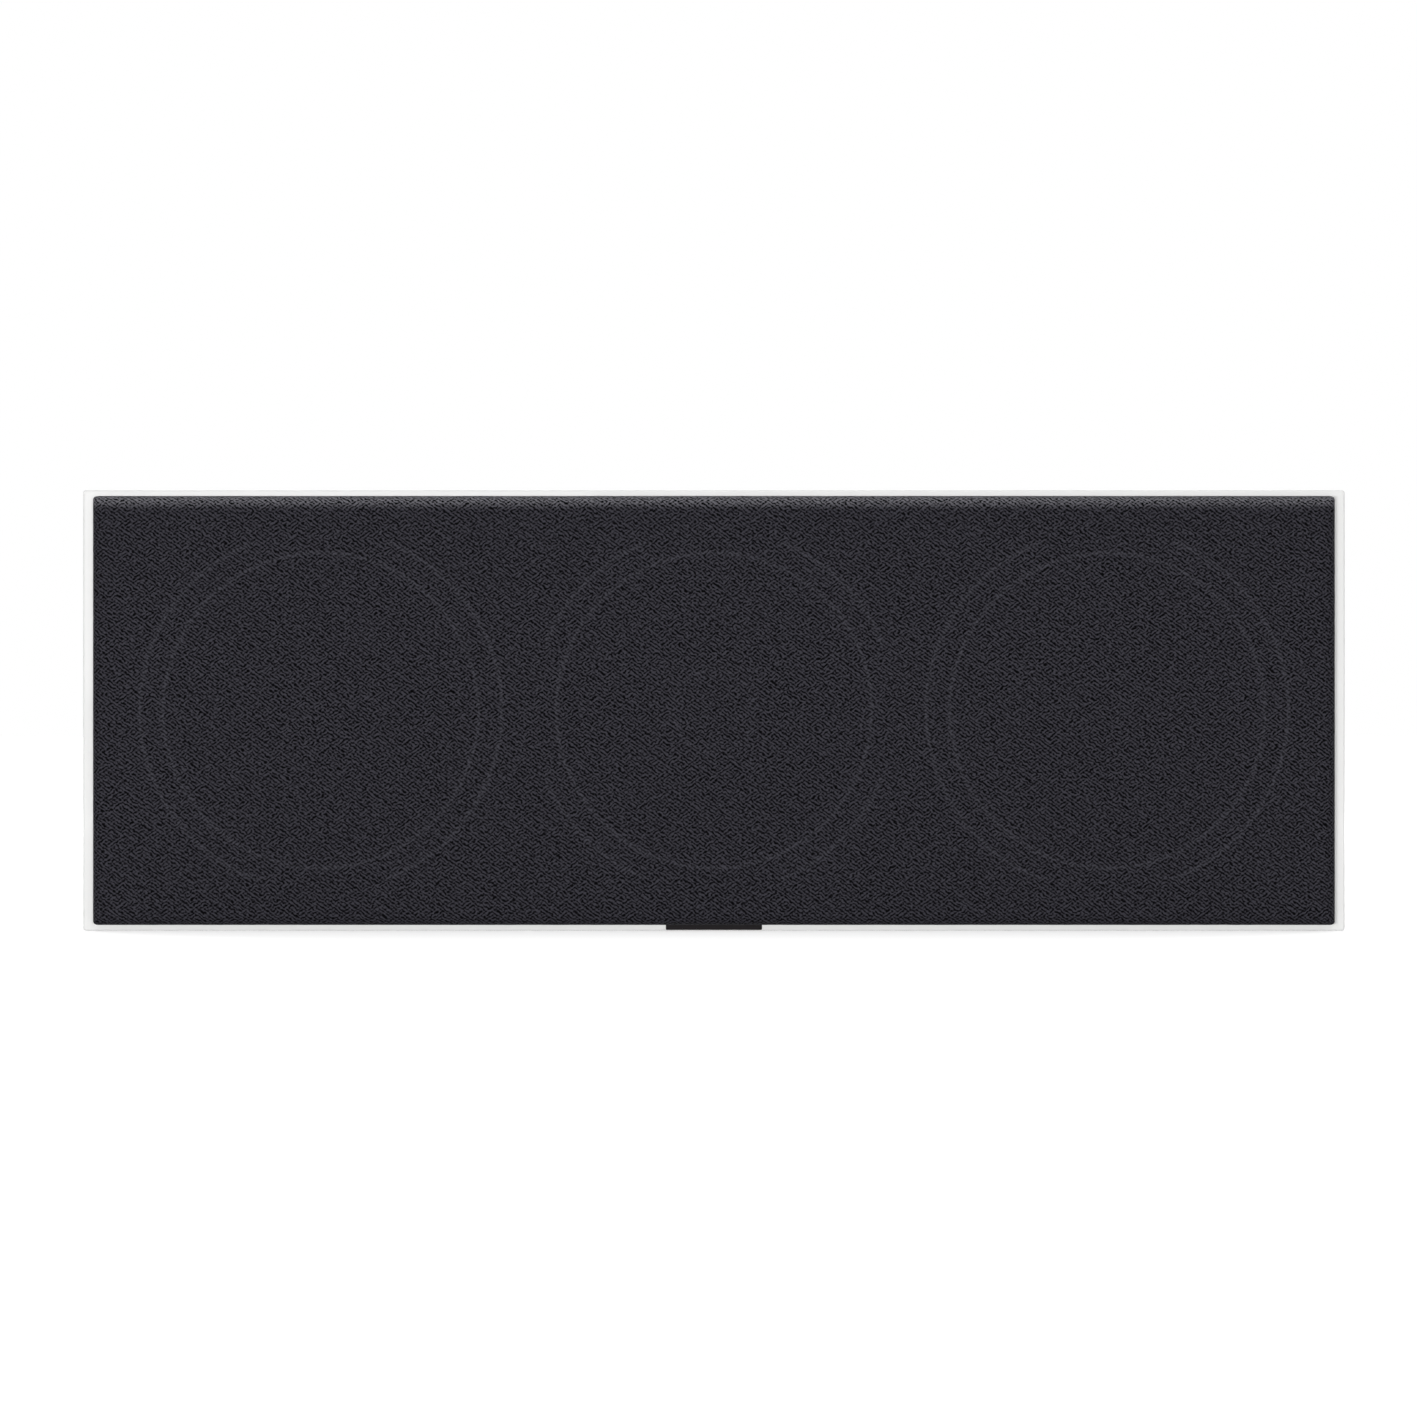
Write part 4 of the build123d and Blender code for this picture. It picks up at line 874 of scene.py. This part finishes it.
def turned_ring(name, profile, axis_x, material):
    """Geometry nodes carry a profile round a drive unit's axis."""
    path_radius = profile[-1][0]
    line = bmesh.new()
    verts = [line.verts.new((radius - path_radius, y, 0.0)) for radius, y in profile]
    for pair in zip(verts, verts[1:]):
        line.edges.new(pair)
    piece = piece_from(name, line, material)
    inputs = {"Profile": "Geometry", "Radius": "Float", "Centre": "Vector", "Finish": "Material"}
    tree, identifiers = node_tree(f"{name}_round_axis", inputs, output="Ring")
    given = add(tree, "NodeGroupInput")
    circle = add(tree, "GeometryNodeCurvePrimitiveCircle", {
        "Resolution": RING_STEPS, "Radius": given["Radius"],
    })
    section = add(tree, "GeometryNodeMeshToCurve", {"Mesh": given["Profile"]})
    swept = add(tree, "GeometryNodeCurveToMesh", {
        "Curve": circle["Curve"], "Profile Curve": section["Curve"],
    })
    stood = add(tree, "GeometryNodeTransform", {
        "Geometry": swept["Mesh"], "Translation": given["Centre"], "Rotation": (math.pi / 2, 0.0, 0.0),
    })
    end_tree(tree, stood["Geometry"], given["Finish"])
    centre = (axis_x, 0.0, CENTRE_HEIGHT)
    run_tree(piece, tree, identifiers, {"Radius": path_radius, "Centre": centre, "Finish": material})
    face_front(piece.data)
    return piece


def face_front(mesh):
    """Merges doubles and turns an open ring's faces towards the front."""
    ring = bmesh.new()
    ring.from_mesh(mesh)
    bmesh.ops.remove_doubles(ring, verts=ring.verts, dist=0.001 * MM)
    bmesh.ops.recalc_face_normals(ring, faces=ring.faces)
    if sum(face.normal.y * face.calc_area() for face in ring.faces) > 0:
        bmesh.ops.reverse_faces(ring, faces=ring.faces)
    ring.to_mesh(mesh)
    ring.free()


class LOUDSPEAKER_OT_screws(bpy.types.Operator):
    """Countersunk screws with cross recesses, set out on the CAD screws' places"""

    bl_idname = "loudspeaker.screws"
    bl_label = "Screws"

    def execute(self, context):
        sizes = context.scene.loudspeaker_sizes
        # Black zinc on steel: dark and oily, with a soft metal shine
        zinc = worked_metal("black_zinc_steel", "#1C1C1D", "#2C2C2E", grain_mm=1.0, roughness=(0.3, 0.45))
        boxes = solid_boxes("panel_screws")
        groups = {
            "driver_screws": (-1, [box for box in boxes if box[0].y < 0]),
            "terminal_screws": (1, [box for box in boxes if box[0].y > 0]),
        }
        for name, (facing, own) in groups.items():
            heads = [
                Vector(((low.x + high.x) / 2, high.y if facing > 0 else low.y, (low.z + high.z) / 2))
                for low, high in own
            ]
            piece = smooth(screws_on(name, heads, facing, sizes, zinc), sharp_from=35.0)
            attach(piece, "cabinet")
        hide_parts("panel_screws")
        return {"FINISHED"}


def screw_shape(sizes):
    """One screw that goes down from its head's face at Z 0, with a cross recess."""
    arm, reach = sizes.recess_width / 2, sizes.recess_reach
    shape = bmesh.new()
    cross = [(arm, arm), (reach, arm), (reach, -arm)]
    for _ in range(3):  # a quarter turn for each other arm
        cross += [(y, -x) for x, y in cross[-3:]]
    rim = [shape.verts.new((x, y, 0.0)) for x, y in cross]
    floor = [shape.verts.new((x * RECESS_TAPER, y * RECESS_TAPER, -sizes.recess_depth)) for x, y in cross]
    shape.faces.new(floor)
    for k in range(len(rim)):
        shape.faces.new((rim[k], rim[k - 1], floor[k - 1], floor[k]))
    levels = (
        (sizes.screw_head, 0.0),
        (sizes.screw_shank, -sizes.screw_countersink),
        (sizes.screw_shank, sizes.screw_point - sizes.screw_length),
    )
    turns = [2 * math.pi * k / SCREW_STEPS for k in range(SCREW_STEPS)]
    loops = [
        [shape.verts.new((radius * math.cos(a), radius * math.sin(a), z)) for a in turns]
        for radius, z in levels
    ]
    for upper, lower in zip(loops, loops[1:]):
        for k in range(SCREW_STEPS):
            shape.faces.new((upper[k], upper[k - 1], lower[k - 1], lower[k]))
    tip = shape.verts.new((0.0, 0.0, -sizes.screw_length))
    for k in range(SCREW_STEPS):
        shape.faces.new((loops[-1][k], loops[-1][k - 1], tip))
    border = [shape.edges.get((ring[k - 1], ring[k])) for ring in (rim, loops[0]) for k in range(len(ring))]
    bmesh.ops.triangle_fill(shape, edges=border, use_beauty=True)
    bmesh.ops.recalc_face_normals(shape, faces=shape.faces)
    return shape


def screws_on(name, heads, facing, sizes, material):
    """Geometry nodes put the same screw on every place, each turned about its axis by its own angle."""
    template = piece_from(f"{name}_template", screw_shape(sizes), material)
    places = bmesh.new()
    for head in heads:
        places.verts.new(head)
    piece = piece_from(name, places, material)
    inputs = {"Places": "Geometry", "Screw": "Object", "Tilt": "Float", "Finish": "Material"}
    tree, identifiers = node_tree(f"{name}_on_places", inputs, output="Screws")
    given = add(tree, "NodeGroupInput")
    screw = add(tree, "GeometryNodeObjectInfo", {"Object": given["Screw"]})
    turn = add(tree, "FunctionNodeRandomValue", {
        2: 0.0, 3: math.pi / 2, "Seed": SCREW_SEED,
    }, data_type="FLOAT")
    angles = add(tree, "ShaderNodeCombineXYZ", {"X": given["Tilt"], "Y": turn[1]})
    spread = add(tree, "GeometryNodeInstanceOnPoints", {
        "Points": given["Places"], "Instance": screw["Geometry"], "Rotation": angles["Vector"],
    })
    end_tree(tree, spread["Instances"], given["Finish"])
    tilt = -facing * math.pi / 2
    run_tree(piece, tree, identifiers, {"Screw": template, "Tilt": tilt, "Finish": material})
    bpy.data.objects.remove(template)
    return piece


class LOUDSPEAKER_OT_terminals(bpy.types.Operator):
    """Finishes of the terminal cup, posts and thumb nuts"""

    bl_idname = "loudspeaker.terminals"
    bl_label = "Terminals"

    def execute(self, context):
        colours = context.scene.loudspeaker_colours
        # Injection-moulded ABS: black, with a grain a little coarser than the grille frame's
        dress(moulded("black_abs_cup", colours.black_plastic, grain_mm=1.0, relief_mm=0.03), "terminal_cup")
        # Gold flash on turned brass: yellow and bright
        gilt = worked_metal("gold_plated_brass", "#B98A3C", "#E6C275", grain_mm=2.0, roughness=(0.14, 0.26))
        dress(gilt, "positive_post", "negative_post", "positive_washer", "negative_washer", "post_lock_nuts")
        # Acrylic nuts: clear deep red and black, polished
        dress(polished_plastic("red_acrylic_nut", colours.positive), "positive_thumb_nut")
        dress(polished_plastic("black_acrylic_nut", linear("#151516")), "negative_thumb_nut")
        return {"FINISHED"}


class LOUDSPEAKER_OT_crossover(bpy.types.Operator):
    """Finishes of the crossover board, its parts and the inside leads"""

    bl_idname = "loudspeaker.crossover"
    bl_label = "Crossover"

    def execute(self, context):
        dress(circuit_board(), "crossover_board")
        # Undyed nylon: milky and waxy
        dress(moulded("natural_nylon", linear("#DAD7CD"), grain_mm=2.0), "board_pillars")
        # Heat-shrunk sleeve: dark blue with a wet shine
        dress(polished_plastic("shrink_sleeve", linear("#1B2440")), "capacitors")
        # Cast cement: chalky and rough
        cement = moulded(
            "white_cement", linear("#D5D2C8"), grain_mm=0.7, relief_mm=0.1, roughness=(0.8, 0.95)
        )
        dress(cement, "resistors")
        # Extruded PVC: soft black satin
        dress(moulded("black_pvc", linear("#202022"), grain_mm=1.2), "internal_leads")
        return {"FINISHED"}


# Studio


class LOUDSPEAKER_OT_stage(bpy.types.Operator):
    """White floor, plain light and a camera straight in front"""

    bl_idname = "loudspeaker.stage"
    bl_label = "Studio"

    def execute(self, context):
        scene = context.scene
        studio = scene.loudspeaker_studio
        scene.view_settings.view_transform = "Standard"
        white_floor()
        white_world(scene, studio.horizon, studio.zenith)
        lens_y = BAFFLE_FACE - studio.camera_distance
        lights_y = lens_y - LIGHT_SETBACK
        front = panel_light("front_panel", FRONT_SIZE, studio.front_radiance, mirrored=False)
        aim(front, (FRONT_ACROSS, lights_y, FRONT_HEIGHT), AHEAD)
        softbox = panel_light("softbox", SOFTBOX_SIZE, studio.softbox_radiance)
        right, bottom = SOFTBOX_CORNER
        aim(softbox, (right - SOFTBOX_SIZE[0] / 2, lights_y, bottom + SOFTBOX_SIZE[1] / 2), AHEAD)
        overhead = panel_light("overhead", OVERHEAD_SIZE, studio.overhead_radiance, mirrored=False)
        aim(overhead, OVERHEAD_PLACE, DOWN)
        for side in (-1, 1):
            fill = panel_light("rear_fill", FILL_SIZE, studio.fill_radiance, mirrored=False)
            place = Vector((FILL_ACROSS * side, FILL_BACK, FILL_HEIGHT))
            aim(fill, place, Vector((0.0, 0.0, CENTRE_HEIGHT)) - place)
        lens = bpy.data.cameras.new("front_camera")
        lens.sensor_width = SENSOR_MM
        lens.lens = SENSOR_MM * studio.camera_distance / studio.view_width
        camera = bpy.data.objects.new("front_camera", lens)
        scene.collection.objects.link(camera)
        aim(camera, (CAMERA_ACROSS, lens_y, CAMERA_HEIGHT), AHEAD)
        scene.camera = camera
        return {"FINISHED"}


def aim(thing, place, direction):
    """Puts a light or camera somewhere, looking along a direction."""
    thing.location = place
    thing.rotation_euler = Vector(direction).to_track_quat("-Z", "Y").to_euler()


def panel_light(name, size, radiance, mirrored=True):
    """Rectangular soft light of an even brightness, which gloss may or may not mirror."""
    lamp = bpy.data.lights.new(name, "AREA")
    lamp.shape = "RECTANGLE"
    lamp.size, lamp.size_y = size
    lamp.energy = radiance * math.pi * size[0] * size[1]
    light = bpy.data.objects.new(name, lamp)
    light.visible_glossy = mirrored
    bpy.context.scene.collection.objects.link(light)
    return light


def seen_directly(tree):
    """1 for what the camera sees, straight or in a mirror or through glass."""
    path = add(tree, "ShaderNodeLightPath")
    seen = path["Is Camera Ray"]
    for kind in ("Is Glossy Ray", "Is Transmission Ray"):
        seen = add(tree, "ShaderNodeMath", {0: seen, 1: path[kind]}, operation="MAXIMUM")["Value"]
    return seen


def white_floor():
    """Pale floor that keeps the cabinet's shadow; the camera sees it lifted to white, most of all far off."""
    slab = bmesh.new()
    bmesh.ops.create_grid(slab, x_segments=1, y_segments=1, size=FLOOR_HALF_WIDTH)
    material, tree, shader, place = finish("white_floor", {
        "Base Color": linear("#D4D4D4"), "Roughness": 1.0, "Specular IOR Level": 0.0,
        "Emission Color": (1.0, 1.0, 1.0, 1.0),
    })
    away = add(tree, "ShaderNodeVectorMath", {0: place}, operation="LENGTH")["Value"]
    lift = add(tree, "ShaderNodeMapRange", {
        "Value": away, "From Min": FLOOR_NEAR, "From Max": FLOOR_FAR, "To Min": FLOOR_LIFT_NEAR,
        "To Max": FLOOR_LIFT_FAR,
    })["Result"]
    lift = add(tree, "ShaderNodeMath", {0: seen_directly(tree), 1: lift}, operation="MULTIPLY")["Value"]
    feed(tree, shader, {"Emission Strength": lift})
    piece_from("floor", slab, material)


def white_world(scene, horizon, zenith):
    """White to the camera; to everything else an even plain light that grows towards the zenith."""
    world = bpy.data.worlds.new("white_studio")
    world.use_nodes = True
    scene.world = world
    tree = world.node_tree
    direction = add(tree, "ShaderNodeTexCoord")["Generated"]
    height = add(tree, "ShaderNodeSeparateXYZ", {"Vector": direction})["Z"]
    sky = add(tree, "ShaderNodeMapRange", {"Value": height, "To Min": horizon, "To Max": zenith})["Result"]
    level = add(tree, "ShaderNodeMix", {0: seen_directly(tree), 2: sky, 3: 1.0})[0]
    feed(tree, tree.nodes["Background"], {"Color": (1.0, 1.0, 1.0, 1.0), "Strength": level})


class LOUDSPEAKER_PT_panel(bpy.types.Panel):
    """Sidebar list of the loudspeaker's pieces"""

    bl_idname = "LOUDSPEAKER_PT_panel"
    bl_label = "Loudspeaker"
    bl_space_type = "VIEW_3D"
    bl_region_type = "UI"
    bl_category = "Loudspeaker"

    def draw(self, context):
        for operator in OPERATORS:
            self.layout.operator(operator.bl_idname)
        for name, group in GROUPS.items():
            column = self.layout.column()
            for key in group.__annotations__:
                column.prop(getattr(context.scene, name), key)


GROUPS = {
    "loudspeaker_sizes": LoudspeakerSizes,
    "loudspeaker_colours": LoudspeakerColours,
    "loudspeaker_studio": LoudspeakerStudio,
}
OPERATORS = (
    LOUDSPEAKER_OT_cabinet,
    LOUDSPEAKER_OT_wadding,
    LOUDSPEAKER_OT_grille,
    LOUDSPEAKER_OT_cloth,
    LOUDSPEAKER_OT_drive_units,
    LOUDSPEAKER_OT_surrounds,
    LOUDSPEAKER_OT_screws,
    LOUDSPEAKER_OT_terminals,
    LOUDSPEAKER_OT_crossover,
    LOUDSPEAKER_OT_stage,
)
CLASSES = (*GROUPS.values(), *OPERATORS, LOUDSPEAKER_PT_panel)


def register():
    for cls in CLASSES:
        bpy.utils.register_class(cls)
    for name, group in GROUPS.items():
        setattr(bpy.types.Scene, name, PointerProperty(type=group))


def unregister():
    for name in GROUPS:
        delattr(bpy.types.Scene, name)
    for cls in reversed(CLASSES):
        bpy.utils.unregister_class(cls)


def main():
    register()
    for operator in OPERATORS:
        family, action = operator.bl_idname.split(".")
        getattr(getattr(bpy.ops, family), action)()


if __name__ == "__main__":
    main()
